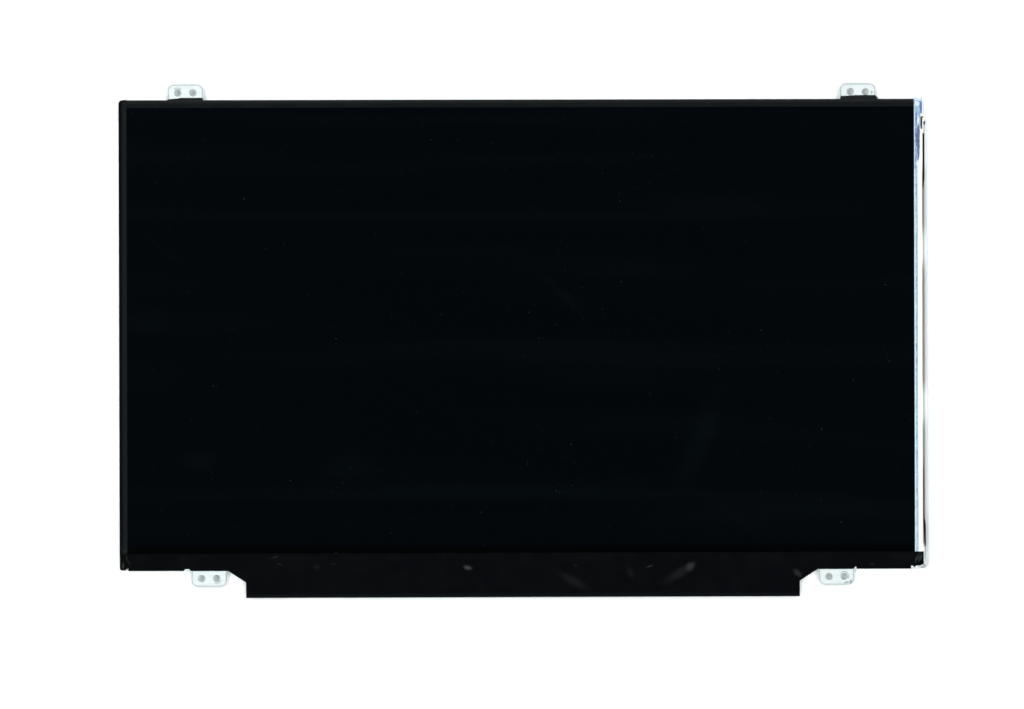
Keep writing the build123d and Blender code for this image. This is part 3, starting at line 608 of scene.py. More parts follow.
def make_board():
    """Green solder mask over copper tracks, with bare laminate at the edges."""
    material, surface = finish("solder_mask_board", {"Coat Weight": 0.35, "Coat Roughness": 0.18})
    place = surface_place()
    slanted = turned(place, 0.785)
    tracks = []
    for direction, row, width in ((place, 0.55, 9.0), (slanted, 1.1, 4.0)):
        bricks = put(
            "ShaderNodeTexBrick",
            {
                "Vector": direction, "Scale": 1.0 / mm, "Mortar Size": 0.09, "Mortar Smooth": 0.2,
                "Brick Width": width, "Row Height": row,
            },
        )
        tracks.append(bricks.outputs["Fac"])
    area = mottle(170, 0.47, 0.53, 1.0)
    copper = tint(area, (0.012, 0.085, 0.040), (0.018, 0.125, 0.055))
    both = put("ShaderNodeMix", {0: area, 2: tracks[0], 3: tracks[1]}, data_type="FLOAT").outputs[0]
    masked = tint(both, copper, (0.032, 0.205, 0.085))
    middle = put("ShaderNodeNewGeometry").outputs["Normal"]
    upright = calc("ABSOLUTE", put("ShaderNodeSeparateXYZ", {0: middle}).outputs[2])
    edge = calc("LESS_THAN", upright, 0.5)
    vias = specks(330, 0.10, 0.30)
    drilled = tint(vias, masked, (0.38, 0.36, 0.26))
    wire(surface, colour=tint(edge, drilled, (0.34, 0.33, 0.15)))
    wire(surface, rough=between(mottle(600), 0.28, 0.42))
    relief(surface, both, 0.02)
    return material


def epoxy_nodes():
    """Colour and roughness of black moulding compound."""
    fleck = specks(6000, 0.35, 0.30)
    cloud = mottle(800)
    base = tint(cloud, (0.012, 0.012, 0.013), (0.022, 0.022, 0.024))
    return tint(fleck, base, (0.055, 0.055, 0.058)), between(cloud, 0.48, 0.62)


def make_epoxy(dots):
    """Black moulding compound, a polished dot by each first pin."""
    material, surface = finish("black_chip_epoxy", {"Specular IOR Level": 0.4})
    colour, rough = epoxy_nodes()
    mark = most(*[ring(x, y, 0.0, 0.35) for x, y in dots])
    wire(surface, colour=tint(mark, colour, (0.05, 0.05, 0.052)))
    wire(surface, rough=calc("SUBTRACT", rough, times(mark, 0.25)))
    relief(surface, calc("SUBTRACT", mottle(4000), times(mark, 8.0)), 0.006)
    return material


def make_leaded_epoxy():
    """Black moulding compound between two rows of tinned leads."""
    material, surface = finish("leaded_chip_epoxy", {"Specular IOR Level": 0.4})
    colour, rough = epoxy_nodes()
    away = calc("ABSOLUTE", calc("SUBTRACT", place_on("Y"), board_middle * mm))
    leads = calc("GREATER_THAN", away, lead_start * mm)
    tin = tint(mottle(2500), (0.55, 0.55, 0.54), (0.74, 0.74, 0.72))
    wire(surface, colour=tint(leads, colour, tin), metal=leads)
    wire(surface, rough=calc("SUBTRACT", rough, times(leads, 0.22)))
    relief(surface, mottle(4000), 0.005)
    return material


def make_metal(name, dark, light, scale, roughness, stretch=(1, 1, 1)):
    """Small metal parts with a drawn or plated grain."""
    material, surface = finish(name, {"Metallic": 1.0})
    grain = mottle(scale, 0.3, 0.7, 3.0, stretch)
    stain = specks(1200, 0.25, 0.20)
    wire(surface, colour=tint(times(stain, 0.4), tint(grain, dark, light), dark))
    wire(surface, rough=between(grain, roughness, roughness + 0.14))
    relief(surface, grain, 0.004)
    return material


def make_small_body(name, dark, light, scale, roughness):
    """Fired, sintered or moulded bodies of small parts."""
    material, surface = finish(name, {"Specular IOR Level": 0.4})
    grain = mottle(scale, 0.3, 0.7, 4.0)
    fleck = specks(5000, 0.3, 0.2)
    wire(surface, colour=tint(times(fleck, 0.5), tint(grain, dark, light), dark))
    wire(surface, rough=between(grain, roughness, roughness + 0.15))
    relief(surface, grain, 0.006)
    return material


def make_floor():
    """Plain white studio table."""
    material, surface = finish("white_table", {"Specular IOR Level": 0.05, "Roughness": 0.8})
    wire(surface, colour=tint(mottle(3), (0.80, 0.84, 0.84), (0.82, 0.86, 0.86)))
    return material


polarizer = make_polarizer()
border_tape = make_tape(
    "border_tape_film", (0.0036, 0.0046, 0.0052), (0.0056, 0.0066, 0.0072), (0.05, 0.055, 0.055), 0.02,
    # Painted highlight: lighter towards the fold over the top wall
    (("Y", 91.6, 93.2, (0.0108, 0.0124, 0.0128)),),
)
side_tape = make_tape(
    "side_tape_film", (0.0008, 0.0012, 0.0014), (0.0016, 0.0021, 0.0024), (0.04, 0.045, 0.045), 0.014,
    # Painted shade: the fold over the left wall stays darker than the tape inward of it. The tape is also
    # darker towards its lower end
    (("X", -159.5, -158.0, (0.0064, 0.0076, 0.0082)), ("Y", -85.0, -87.0, (0.0010, 0.0014, 0.0016))),
    # Painted highlights on wrinkles
    (
        (-158.7, -91.2, 0.55, 1.9, 4, 0.75),
        (-159.1, -84.7, 0.30, 1.8, 8, 0.35),
        (-158.0, -85.6, 0.6, 1.2, -30, 0.35),
        (-157.2, -88.4, 0.5, 2.4, 12, 0.30),
        (-157.4, 86.0, 0.25, 5.5, 0, 0.22),
    ),
)
lower_tape = make_tape(
    "lower_tape_film", (0.0008, 0.0012, 0.0018), (0.0017, 0.0023, 0.0028), (0.03, 0.035, 0.035), 0.015,
    (("Y", -102.2, -103.6, (0.0028, 0.0038, 0.0044)),),
    # Painted highlights on wrinkles
    (
        (-96.8, -90.8, 1.5, 0.35, -27, 0.25),
        (-81.9, -92.0, 1.5, 1.6, 0, 0.10),
        (-75.2, -90.8, 1.3, 0.9, 0, 0.10),
        (-22.0, -92.4, 2.0, 1.1, -12, 1.0),
        (21.0, -91.8, 1.3, 0.6, 0, 0.12),
        (19.9, -97.9, 7.8, 2.3, -30, 0.14),
        (42.5, -94.6, 1.8, 3.2, 20, 0.09),
        (62.3, -94.7, 8.8, 2.4, 32, 0.18),
        (66.4, -92.2, 2.6, 1.8, 38, 0.60),
        (109.1, -94.9, 2.6, 1.4, -45, 0.45),
        (138.7, -91.6, 1.8, 0.8, 0, 0.14),
        (158.0, -89.0, 2.4, 0.60, 68, 0.75),
        (156.6, -89.2, 2.6, 0.60, 65, 0.65),
        (-156.4, -90.0, 1.6, 0.4, -62, 0.25),
    ),
)
moulding = make_moulding()
aluminium = make_aluminium()
margin_glass = make_margin_glass()
film_scrap = make_film_scrap()
white_film = make_plain_film(
    "white_backlight_film", (0.84, 0.86, 0.87), (0.92, 0.93, 0.94), 2500, (1, 1, 1), 0.55
)
prism_film = make_plain_film(
    "ribbed_prism_film", (0.62, 0.66, 0.70), (0.80, 0.84, 0.87), 1.0, (20, 9000, 1), 0.18
)
acrylic = make_plain_film(
    "light_guide_acrylic", (0.70, 0.77, 0.79), (0.82, 0.88, 0.90), 1800, (1, 1, 1), 0.12
)
rim_adhesive = make_small_body("dark_rim_adhesive", (0.02, 0.02, 0.02), (0.04, 0.04, 0.04), 900, 0.6)
light_flex = make_amber_film(
    "amber_light_flex", (0.50, 0.24, 0.05), (0.62, 0.33, 0.12), 1.0, (2, 900, 1)
)
driver_flex = make_amber_film(
    "amber_driver_film", (0.46, 0.21, 0.05), (0.60, 0.31, 0.12), 1.0, (1400, 2, 1)
)
board_mask = make_board()
chip_epoxy = make_epoxy(((-29.6, -97.0), (25.9, -97.5), (53.9, -98.0)))
leaded_epoxy = make_leaded_epoxy()
silicon = make_small_body("driver_chip_silicon", (0.03, 0.032, 0.036), (0.06, 0.062, 0.068), 400, 0.16)
ferrite = make_small_body("sintered_ferrite", (0.035, 0.035, 0.038), (0.075, 0.075, 0.08), 1500, 0.55)
ceramic = make_small_body("fired_ceramic", (0.36, 0.24, 0.14), (0.48, 0.34, 0.20), 1300, 0.40)
glaze = make_small_body("resistor_glaze", (0.012, 0.012, 0.014), (0.03, 0.03, 0.034), 900, 0.25)
ivory_plastic = make_small_body(
    "ivory_connector_plastic", (0.66, 0.60, 0.46), (0.78, 0.72, 0.58), 1100, 0.45
)
latch_plastic = make_small_body(
    "black_latch_plastic", (0.014, 0.014, 0.014), (0.03, 0.03, 0.03), 1100, 0.40
)
led_resin = make_small_body("led_resin", (0.80, 0.72, 0.34), (0.90, 0.86, 0.62), 700, 0.35)
tin = make_metal("soldered_tin", (0.58, 0.58, 0.57), (0.78, 0.78, 0.76), 1800, 0.26)
tinned_shell = make_metal(
    "tinned_shell", (0.60, 0.60, 0.58), (0.76, 0.76, 0.74), 1.0, 0.26, (300, 5000, 5000)
)
gilding = make_metal("gilded_contact", (0.66, 0.46, 0.16), (0.86, 0.66, 0.30), 2200, 0.20)
copper_wire = make_metal("enamelled_copper", (0.42, 0.17, 0.07), (0.60, 0.27, 0.12), 2600, 0.24)
table = make_floor()


def dress(piece, *finishes):
    """Give a piece its finishes."""
    piece.data.materials.clear()
    for material in finishes:
        piece.data.materials.append(material)


numbers = range(1, 5)
for material, *dressed in (
    (aluminium, "back_cover"),
    (moulding, "mould_frame"),
    (white_film, "reflector", "lower_diffuser", "upper_diffuser"),
    (prism_film, "lower_prism_sheet", "upper_prism_sheet"),
    (acrylic, "light_guide"),
    (light_flex, "led_strip"),
    (led_resin, "leds"),
    (rim_adhesive, "rim_tape"),
    (polarizer, "rear_polarizer", "front_polarizer"),
    (margin_glass, "array_glass", "colour_filter_glass"),
    (board_mask, "circuit_board"),
    (ivory_plastic, "signal_connector_housing", "backlight_connector"),
    (tinned_shell, "signal_connector_shell"),
    (gilding, "signal_contacts"),
    (latch_plastic, "backlight_connector_latch"),
    (chip_epoxy, "timing_chip", "power_chip", "led_driver_chip", "diodes"),
    (leaded_epoxy, "memory_chip", "gamma_chip"),
    (driver_flex, *(f"driver_film_{number}" for number in numbers)),
    (silicon, *(f"driver_chip_{number}" for number in numbers)),
):
    for node_name in dressed:
        dress(nodes[node_name], material)


# Work on the pieces


def choose_nothing():
    """Let go of every object."""
    bpy.ops.object.select_all(action="DESELECT")


def settle():
    """Leave the chosen objects at the origin, unturned and unscaled, with their shapes in place."""
    bpy.ops.object.transform_apply(location=True, rotation=True, scale=True)


def smooth(degrees):
    """Shade the chosen objects smooth, but for edges sharper than an angle."""
    bpy.ops.object.shade_smooth_by_angle(angle=math.radians(degrees))


def call(piece, name):
    """Name a piece and its mesh."""
    piece.name = name
    piece.data.name = name


def join(members):
    """Join some objects into one."""
    choose_nothing()
    for member in members:
        member.select_set(True)
    bpy.context.view_layer.objects.active = members[0]
    settle()
    bpy.ops.object.join()
    return bpy.context.object


def flat_sheet(name, left, right, bottom, top, z, columns, rows):
    """A flat sheet divided into a grid, left in edit mode."""
    choose_nothing()
    bpy.ops.mesh.primitive_grid_add(
        x_subdivisions=columns, y_subdivisions=rows, size=1,
        location=((left + right) / 2 * mm, (bottom + top) / 2 * mm, z * mm),
    )
    piece = bpy.context.object
    call(piece, name)
    piece.scale = ((right - left) * mm, (top - bottom) * mm, 1)
    settle()
    bpy.ops.object.mode_set(mode="EDIT")
    return piece


def choose(piece, kind, test, rim_only=False):
    """In edit mode, select the points, edges or faces whose middle passes a test in millimetres."""
    bpy.ops.mesh.select_mode(type=kind)
    bpy.ops.mesh.select_all(action="DESELECT")
    cage = bmesh.from_edit_mesh(piece.data)
    parts = {"VERT": cage.verts, "EDGE": cage.edges, "FACE": cage.faces}[kind]
    for part in parts:
        corners = [part] if kind == "VERT" else part.verts
        middle = sum((corner.co for corner in corners), Vector()) / len(corners)
        if test(middle / mm) and not (rim_only and not part.is_boundary):
            part.select_set(True)
    cage.select_flush_mode()
    bmesh.update_edit_mesh(piece.data)


def everywhere(point):
    """A test that every part of a piece passes."""
    return True


def draw_out(x, y, z):
    """Extrude what is selected."""
    bpy.ops.mesh.extrude_region_move(TRANSFORM_OT_translate={"value": (x * mm, y * mm, z * mm)})


def shift(x, y, z, reach=0.0):
    """Move what is selected, and with a reach also what lies near it."""
    bpy.ops.transform.translate(
        value=(x * mm, y * mm, z * mm), use_proportional_edit=reach > 0,
        proportional_edit_falloff="SMOOTH", proportional_size=max(reach, 0.1) * mm,
    )


def cut(piece, test, point, normal, drop=False):
    """Cut the chosen faces along a plane, and drop what lies in front of it."""
    foot = Vector(point)
    outward = Vector(normal).normalized()
    choose(piece, "FACE", test)
    bpy.ops.mesh.bisect(plane_co=foot * mm, plane_no=outward, threshold=0.001 * mm)
    if drop:
        choose(piece, "FACE", lambda p: test(p) and (p - foot).dot(outward) > 0)
        bpy.ops.mesh.delete(type="FACE")


def crease(piece, start, end, lift, breadth):
    """Raise or press a wrinkle along a line of a tape."""
    foot = Vector(start)
    run = Vector(end) - foot

    def near(point):
        flat = Vector((point.x, point.y)) - foot
        along = min(1.0, max(0.0, flat.dot(run) / run.length_squared))
        return (flat - run * along).length < 0.5

    choose(piece, "VERT", near)
    shift(0, 0, lift, breadth)


def drape(piece, drop):
    """Let the lower part of a tape down over the edge of the glass, in four small steps."""
    for level in (drape_head, drape_foot):
        cut(piece, everywhere, (0, level, 0), (0, 1, 0))
    steps = 4
    for step in range(steps):
        edge = drape_head + (drape_foot - drape_head) * (step + 0.7) / steps
        choose(piece, "VERT", lambda p: p.y < edge)
        shift(0, 0, -drop / steps)


def thicken(piece, thickness):
    """Give a sheet its thickness, half to each side, and smooth its faces."""
    bpy.ops.object.mode_set(mode="OBJECT")
    body = piece.modifiers.new("sheet_thickness", "SOLIDIFY")
    body.thickness = thickness * mm
    body.offset = 0
    bpy.ops.object.modifier_apply(modifier=body.name)
    smooth(38)


def soften(piece, width, segments=2):
    """Round the sharp edges of a body."""
    edge = piece.modifiers.new("soft_edges", "BEVEL")
    edge.width = width * mm
    edge.segments = segments
    edge.limit_method = "ANGLE"
    edge.angle_limit = math.radians(40)
    bpy.ops.object.modifier_apply(modifier=edge.name)


def fit(piece, slot, *replaced):
    """Fix a finished piece to the panel."""
    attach(piece, "root")
    if replaced:
        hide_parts(*replaced)


# Border tapes


def lay_top_tape():
    """The tape along the top edge, folded over the wall, with a tab on the foot of each ear."""
    low, high = box_mm("top_tape")
    face = high.z - tape / 2
    piece = flat_sheet("top_border_tape", low.x, high.x, low.y, wall_edge, face, 390, 5)
    choose(piece, "EDGE", lambda p: p.y > wall_edge - 0.01, rim_only=True)
    draw_out(0, 0.10, -0.06)
    draw_out(0, 0.04, -0.50)
    draw_out(0, 0.00, -0.88)
    left_tab = (-top_ear - ear_half, -top_ear + ear_half, 0.96)
    right_tab = (top_ear - ear_half, top_ear + ear_half + 1.0, 1.56)
    snip = 0.04
    wall_foot = 1.6
    fold_foot = 2.42
    for start, stop, reach in (left_tab, right_tab):
        for side in (start, stop):
            for edge in (side - snip, side + snip):
                cut(piece, lambda p: abs(p.x - side) < 2, (edge, 0, 0), (1, 0, 0))
        choose(piece, "VERT", lambda p: p.z < wall_foot and start < p.x < stop)
        shift(0, reach, 0.84)
        choose(piece, "VERT", lambda p: p.z < fold_foot and p.y < wall_edge + 0.2 and start < p.x < stop)
        shift(0, 0.42, 0)
    # The left tab rises slowly from its outer end, and so does the right one, which ends in a slant
    for tab_line, steps in (
        (93.95, ((-140.3, 0.62), (-138.9, 0.45), (-137.5, 0.28), (-136.1, 0.12))),
        (94.4, ((127.4, 0.34), (128.8, 0.26), (130.2, 0.18), (131.6, 0.10))),
    ):
        for x, drop in steps:
            choose(piece, "VERT", lambda p: p.y > tab_line and abs(p.x - x) < 0.7)
            shift(0, -drop, 0)
    choose(piece, "VERT", lambda p: p.y > 94.5 and 140.6 < p.x < 141.6)
    shift(-0.9, 0, 0)
    for start, end, lift, breadth in (
        ((-140.5, 92.9), (-127.0, 93.1), 0.05, 1.2),
        ((127.0, 93.0), (140.5, 92.7), 0.05, 1.2),
        ((-60.0, 92.6), (-38.0, 92.9), 0.04, 1.3),
        ((20.0, 92.9), (52.0, 92.5), 0.04, 1.3),
        ((153.6, 92.6), (155.8, 91.2), 0.06, 0.9),
    ):
        crease(piece, start, end, lift, breadth)
    thicken(piece, tape)
    dress(piece, border_tape)
    fit(piece, "black_tape", "top_tape")


def lay_left_tape():
    """The tape down the left edge, folded over the wall, its outer corners rounded."""
    low, high = box_mm("left_tape")
    face = high.z - tape / 2
    outer = low.x + 0.14
    corner = 1.4
    piece = flat_sheet("left_border_tape", outer, high.x, -cover_edge, cover_edge, face, 5, 230)
    drape(piece, 0.40)
    middle = Vector((outer + corner, cover_edge - corner, 0))
    for end in (-1, 1):
        centre = Vector((middle.x, end * middle.y, 0))
        for degrees in (18, 36, 54, 72):
            slope = math.radians(degrees)
            outward = Vector((-math.cos(slope), end * math.sin(slope), 0))
            in_corner = lambda p: p.x < centre.x and end * p.y > middle.y
            cut(piece, in_corner, centre + outward * corner, outward, drop=True)

    def outer_rim(p):
        reach = Vector((p.x - middle.x, abs(p.y) - middle.y))
        rounded = reach.x < 0 and reach.y > 0 and reach.length > corner * 0.9
        return p.x < outer + 0.01 or rounded

    choose(piece, "EDGE", outer_rim, rim_only=True)
    draw_out(-0.07, 0, -0.05)
    draw_out(-0.03, 0, -0.45)
    folded_rim = lambda p: p.x < outer - 0.05 and 2.2 < p.z < 2.6 and p.y > drape_foot
    choose(piece, "EDGE", folded_rim, rim_only=True)
    draw_out(0, 0, -0.85)
    choose(piece, "VERT", lambda p: p.x > high.x - 1.3 and p.y > cover_edge - 0.5)
    shift(0, 0.14, 0.03, 0.9)
    # Its lower end is a little short, most of all by the lower tape
    choose(piece, "VERT", lambda p: p.y < -cover_edge + 0.2)
    shift(0, 0.25, 0)
    choose(piece, "VERT", lambda p: p.x > high.x - 0.9 and p.y < -cover_edge + 0.5)
    shift(0, 0.40, 0)
    for start, end, lift, breadth in (
        ((-159.4, -85.6), (-157.2, -86.9), 0.05, 1.0),
        ((-159.6, -89.4), (-157.0, -90.6), 0.16, 1.0),
        ((-159.0, -92.6), (-157.6, -91.2), 0.12, 0.9),
        ((-158.6, 60.0), (-158.2, 71.0), 0.03, 1.0),
        ((-158.4, -30.0), (-158.8, -12.0), 0.03, 1.0),
    ):
        crease(piece, start, end, lift, breadth)
    thicken(piece, tape)
    dress(piece, side_tape)
    fit(piece, "black_tape", "left_tape")


def lay_bottom_tape():
    """The wide tape over the driver films and the board, draped, wrinkled and cut to its outline."""
    low, high = box_mm("bottom_tape")
    face = high.z - tape / 2
    piece = flat_sheet("lower_cover_tape", low.x, high.x, -cover_edge, high.y, face, 430, 9)
    drape(piece, 0.35)
    # Over the board, row by row
    board_rows = 12
    row = (low.y + cover_edge) / board_rows
    choose(piece, "EDGE", lambda p: p.y < -cover_edge + 0.01 and abs(p.x) < shoulder + 0.4, rim_only=True)
    for step in range(board_rows):
        draw_out(0, row, 0)
    # Shoulders beside the board
    for hand in (-1, 1):
        below = lambda p: p.y < -cover_edge and hand * p.x > board_half - 2
        cut(piece, below, (hand * board_half, 0, 0), (hand, 0, 0))
        beside = lambda p: p.y < -cover_edge and hand * p.x > board_half
        slope = (hand * (-cover_edge - shoulder_foot), board_half - shoulder, 0)
        cut(piece, beside, (hand * shoulder, -cover_edge, 0), slope, drop=True)
    # The right end is trimmed short below, with a slanted corner
    trim = -cover_edge + 1.25
    right_end = lambda p: p.x > high.x - 6 and p.y < trim + 1
    cut(piece, right_end, (high.x - 5, 0, 0), (1, 0, 0))
    cut(piece, lambda p: p.x > high.x - 5 and p.y < trim + 1, (0, trim, 0), (0, -1, 0), drop=True)
    slanted_end = lambda p: p.x > high.x - 3 and p.y < trim + 2
    cut(piece, slanted_end, (high.x, trim + 0.8, 0), (0.8, -1.3, 0), drop=True)
    # Small notches of the lower edge beside the ears and at both ends
    end_notch = -92.75
    cut(piece, lambda p: p.x < low.x + 1.5 and p.y < -92, (0, end_notch, 0), (0, 1, 0))
    for left, right, side, rise in (
        (-134.6, -132.6, 0.0, 0.75),
        (131.5, 132.4, 0.2, 1.10),
        (155.4, 156.3, 0.0, -0.70),
        (-157.0, -156.6, 0.2, 0.15),
    ):
        choose(piece, "VERT", lambda p: left < p.x < right and -cover_edge - 0.01 < p.y < trim + 0.01)
        shift(side, rise, 0)
    # Sag between the body and the board, and the soft print of the driver films
    choose(piece, "VERT", lambda p: abs(p.y + cover_edge + 0.4) < 0.6 and abs(p.x) < board_half)
    shift(0, 0, -0.06)
    for film in (-82.5, -27.5, 27.5, 82.5):
        choose(piece, "VERT", lambda p: abs(p.x - film) < 15.5 and -96.0 < p.y < -89.4)
        shift(0, 0, 0.045)
    for start, end, lift, breadth in (
        ((-88.4, -92.0), (-74.5, -92.1), 0.14, 1.2),
        ((-23.5, -92.2), (-19.5, -92.1), 0.16, 1.1),
        ((19.0, -92.3), (23.0, -92.3), 0.16, 1.1),
        ((14.9, -95.6), (20.0, -99.8), 0.12, 1.3),
        ((19.0, -96.2), (26.1, -102.2), 0.14, 1.4),
        ((41.0, -94.4), (44.6, -94.9), 0.14, 1.1),
        ((54.7, -91.6), (61.0, -95.0), 0.18, 1.4),
        ((60.0, -94.6), (69.4, -99.4), 0.16, 1.5),
        ((108.6, -94.6), (109.6, -97.0), 0.14, 1.0),
        ((-110.0, -95.5), (-106.5, -98.2), 0.12, 1.2),
        ((-60.0, -94.2), (-52.0, -95.6), 0.10, 1.4),
        ((-140.0, -91.0), (-128.0, -91.6), 0.08, 1.3),
        ((120.0, -91.2), (132.0, -90.8), 0.08, 1.3),
        ((156.6, -90.4), (158.2, -88.2), 0.10, 0.9),
        ((154.4, -87.9), (158.8, -87.9), 0.05, 0.8),
        ((-156.6, -91.6), (-154.0, -89.6), 0.12, 1.0),
    ):
        crease(piece, start, end, lift, breadth)
    thicken(piece, tape)
    dress(piece, lower_tape)
    fit(piece, "black_tape", "bottom_tape")


def lay_film_scrap():
    """A torn, crumpled scrap of clear film along the upper end of the right margin."""
    low, high = box_mm("side_film_scrap")
    z = high.z + 0.005
    piece = flat_sheet("clear_film_scrap", low.x, high.x, low.y, high.y, z, 10, 84)
    neck = high.y - 6.3
    strip = low.x + 2.3
    taper = low.y + 9.0
    torn_end = (low.x + 1.0, low.y + 2.4, z)
    cut(piece, everywhere, (0, neck, z), (0, 1, 0))
    cut(piece, lambda p: p.y < neck, (strip, 0, z), (1, 0, 0), drop=True)
    cut(piece, everywhere, (strip, taper, z), (1.0, -0.14, 0), drop=True)
    cut(piece, everywhere, torn_end, (0.5, -1.0, 0), drop=True)
    crumples = 26
    for number in range(crumples):
        x = low.x + 0.4 + 2.4 * ((number * 0.618) % 1.0)
        y = low.y + 2.0 + (high.y - low.y - 3.0) * ((number * 0.382 + 0.1) % 1.0)
        lean = 1.6 * math.sin(number * 1.7)
        lift = 0.035 if number % 2 else -0.03
        crease(piece, (x, y), (x + 0.5 * lean, y + 1.8), lift, 0.7)
    thicken(piece, 0.03)
    dress(piece, film_scrap)
    fit(piece, "clear_film", "side_film_scrap")


# Small parts on the board


def blocks_of(node):
    """Lowest and highest corner of each separate solid of a CAD node, in millimetres."""
    mesh = nodes[node].data
    owner = {}

    def root(key):
        while owner[key] != key:
            key = owner[key]
        return key

    for face in mesh.polygons:
        keys = [tuple(round(c / mm, 3) for c in mesh.vertices[i].co) for i in face.vertices]
        for key in keys:
            owner.setdefault(key, key)
            owner[root(key)] = root(keys[0])
    solids = {}
    for key in owner:
        solids.setdefault(root(key), []).append(Vector(key))
    return [
        (Vector(map(min, *points)), Vector(map(max, *points)))
        for points in sorted(solids.values(), key=lambda points: min(tuple(p) for p in points))
    ]


def body_block(name, size):
    """A block at the origin to be shaped, left in edit mode."""
    choose_nothing()
    bpy.ops.mesh.primitive_cube_add(size=1)
    piece = bpy.context.object
    call(piece, name)
    piece.scale = size * mm
    settle()
    bpy.ops.object.mode_set(mode="EDIT")
    return piece


def paint_faces(piece, test, slot_number):
    """Give the chosen faces another of the piece's finishes."""
    choose(piece, "FACE", test)
    piece.active_material_index = slot_number
    bpy.ops.object.material_slot_assign()


def copies_at(master, places):
    """Copy a part to each place and join the copies into one piece."""
    made = []
    for place in places:
        choose_nothing()
        master.select_set(True)
        bpy.context.view_layer.objects.active = master
        bpy.ops.object.duplicate()
        copy = bpy.context.object
        copy.location = place * mm
        made.append(copy)
    joined = join(made)
    name = master.name
    bpy.data.objects.remove(master)
    call(joined, name)
    return joined


def solder_capped_parts(node, name, slot, body, cap_share, swell):
    """Ceramic capacitors or resistors: a body between two tinned ends, once, then copied."""
    blocks = blocks_of(node)
    size = blocks[0][1] - blocks[0][0]
    inner = Vector((size.x / swell, size.y, size.z / swell))
    part = body_block(name, inner)
    cap = size.y * (0.5 - cap_share)
    for end in (-1, 1):
        cut(part, everywhere, (0, end * cap, 0), (0, 1, 0))
    dress(part, body, tin)
    for end in (-1, 1):
        choose(part, "FACE", lambda p: end * p.y > cap)
        draw_out(0, 0, 0)
        bpy.ops.transform.resize(value=(swell, 1, swell), center_override=(0, 0, 0))
        paint_faces(part, lambda p: end * p.y >= cap - 0.001, 1)
    bpy.ops.object.mode_set(mode="OBJECT")
    soften(part, 0.035)
    smooth(45)
    piece = copies_at(part, [(low + high) / 2 for low, high in blocks])
    fit(piece, slot, node)
    return blocks


def solder_pads(blocks):
    """Tinned pads on the back of the board under the ends of the small parts."""
    pad = body_block("solder_pads", Vector((0.9, 0.5, 0.05)))
    choose(pad, "FACE", lambda p: p.z < -0.02)
    bpy.ops.mesh.inset(thickness=0.08 * mm)
    shift(0, 0, -0.02)
    dress(pad, tin)
    bpy.ops.object.mode_set(mode="OBJECT")
    smooth(50)
    places = []
    for low, high in blocks:
        middle = (low.x + high.x) / 2
        for end in (low.y + 0.08, high.y - 0.08):
            places.append(Vector((middle, end, high.z - 0.01)))
    piece = copies_at(pad, places)
    fit(piece, "contact_metal")


def wind_inductor(node, name):
    """A drum core of two eight-sided flanges with its copper winding between them."""
    low, high = box_mm(node)
    middle = (low + high) / 2
    size = high.x - low.x
    flange = 0.25
    room = high.z - low.z - 2 * flange
    members = []
    for level in (low.z + flange / 2, high.z - flange / 2):
        choose_nothing()
        bpy.ops.mesh.primitive_cylinder_add(
            vertices=8, radius=size / 2 / math.cos(math.pi / 8) * mm, depth=flange * mm,
            location=(middle.x * mm, middle.y * mm, level * mm), rotation=(0, 0, math.pi / 8),
        )
        plate = bpy.context.object
        settle()
        soften(plate, 0.06)
        dress(plate, ferrite)
        members.append(plate)
    turns = 4
    wire_radius = room / turns / 2
    for turn in range(turns):
        choose_nothing()
        bpy.ops.mesh.primitive_torus_add(
            major_radius=(size / 2 - 0.45 - wire_radius) * mm, minor_radius=wire_radius * mm,
            major_segments=40, minor_segments=8,
            location=(middle.x * mm, middle.y * mm, (low.z + flange + wire_radius * (2 * turn + 1)) * mm),
        )
        loop = bpy.context.object
        settle()
        dress(loop, copper_wire)
        members.append(loop)
    piece = join(members)
    call(piece, name)
    smooth(40)
    fit(piece, "ferrite", node)


lay_top_tape()
lay_left_tape()
lay_bottom_tape()
lay_film_scrap()
small_blocks = solder_capped_parts("capacitors", "ceramic_capacitors", "ceramic", ceramic, 0.26, 1.06)
small_blocks += solder_capped_parts("resistors", "chip_resistors", "resistor_body", glaze, 0.24, 1.08)
solder_pads(small_blocks)
wind_inductor("power_inductor", "power_drum_inductor")
wind_inductor("boost_inductor", "boost_drum_inductor")


# Table, light and camera


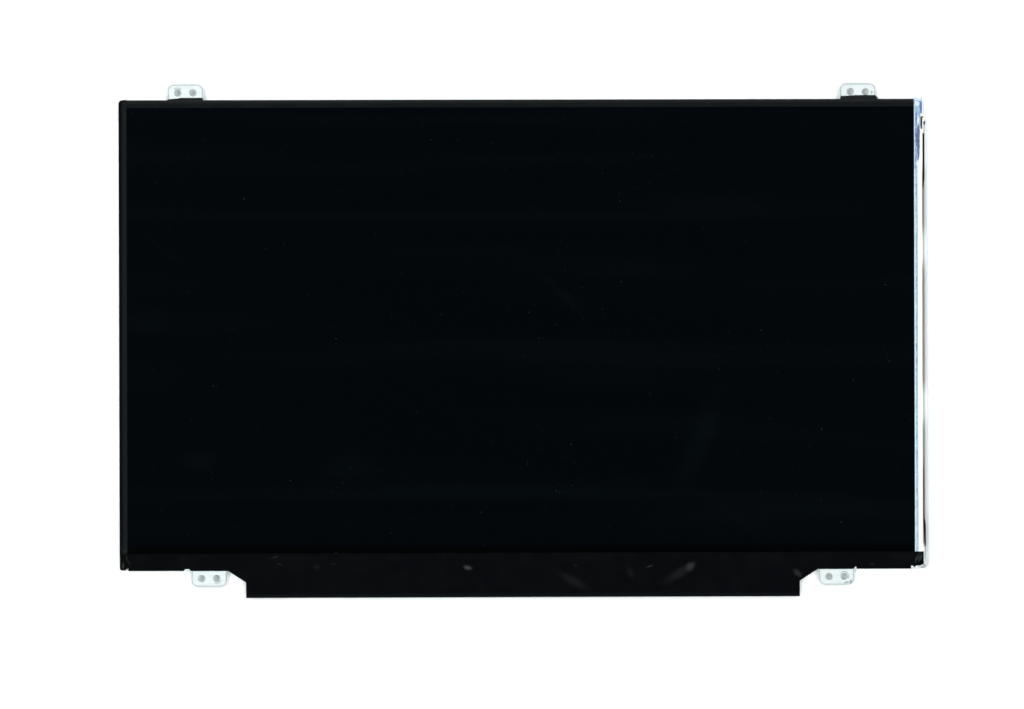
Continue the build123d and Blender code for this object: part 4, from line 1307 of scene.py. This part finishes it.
def set_table():
    """A wide white table under the panel."""
    choose_nothing()
    bpy.ops.mesh.primitive_plane_add(size=24, location=(0, 0, -0.02 * mm))
    floor = bpy.context.object
    floor.name = "white_table"
    dress(floor, table)


def set_light():
    """Wide soft lights left and right, a dark ceiling over the screen, and a lamp at the upper left."""
    world = bpy.data.worlds.new("soft_white_room")
    bpy.context.scene.world = world
    world.use_nodes = True
    tree = world.node_tree
    Bench.tree = tree
    direction = put("ShaderNodeTexCoord").outputs["Generated"]
    aim = put("ShaderNodeSeparateXYZ", {0: direction}).outputs
    sideways = spread(calc("ABSOLUTE", aim["X"]), 0.06, 0.30, 0.25, 1.0)
    lit = times(spread(aim["Z"], 0.69, 0.79), sideways)
    ceiling = spread(aim["Z"], 0.87, 0.92)
    walls = tint(lit, (0.065, 0.065, 0.065), (1.0, 1.0, 1.0))
    room = tint(ceiling, walls, (0.004, 0.004, 0.004))
    backdrop = tree.nodes["Background"]
    tree.links.new(room, backdrop.inputs["Color"])
    backdrop.inputs["Strength"].default_value = 5.9
    lamp_place = Vector((-0.80, 0.30, 1.10))
    bpy.ops.object.light_add(type="AREA", location=lamp_place)
    lamp = bpy.context.object
    lamp.data.size = 0.5
    lamp.data.energy = 2.0
    lamp.rotation_euler = (-lamp_place).to_track_quat("-Z", "Y").to_euler()
    settings = bpy.context.scene.view_settings
    settings.view_transform = "Standard"
    settings.look = "None"


def set_camera():
    """A camera straight above the screen."""
    view_width = 406.55
    lens = 85.0
    sensor = 36.0
    lean = math.radians(-0.39)
    turn = math.radians(-0.155)
    distance = view_width * lens / sensor
    aim = (-4.20, -7.79, box_mm("front_polarizer")[1].z)
    place = (aim[0] + distance * math.sin(lean), aim[1], aim[2] + distance * math.cos(lean))
    bpy.ops.object.camera_add(location=Vector(place) * mm, rotation=(0, lean, turn))
    camera = bpy.context.object
    camera.data.lens = lens
    camera.data.sensor_width = sensor
    camera.data.clip_start = 0.01
    bpy.context.scene.camera = camera


set_table()
set_light()
set_camera()
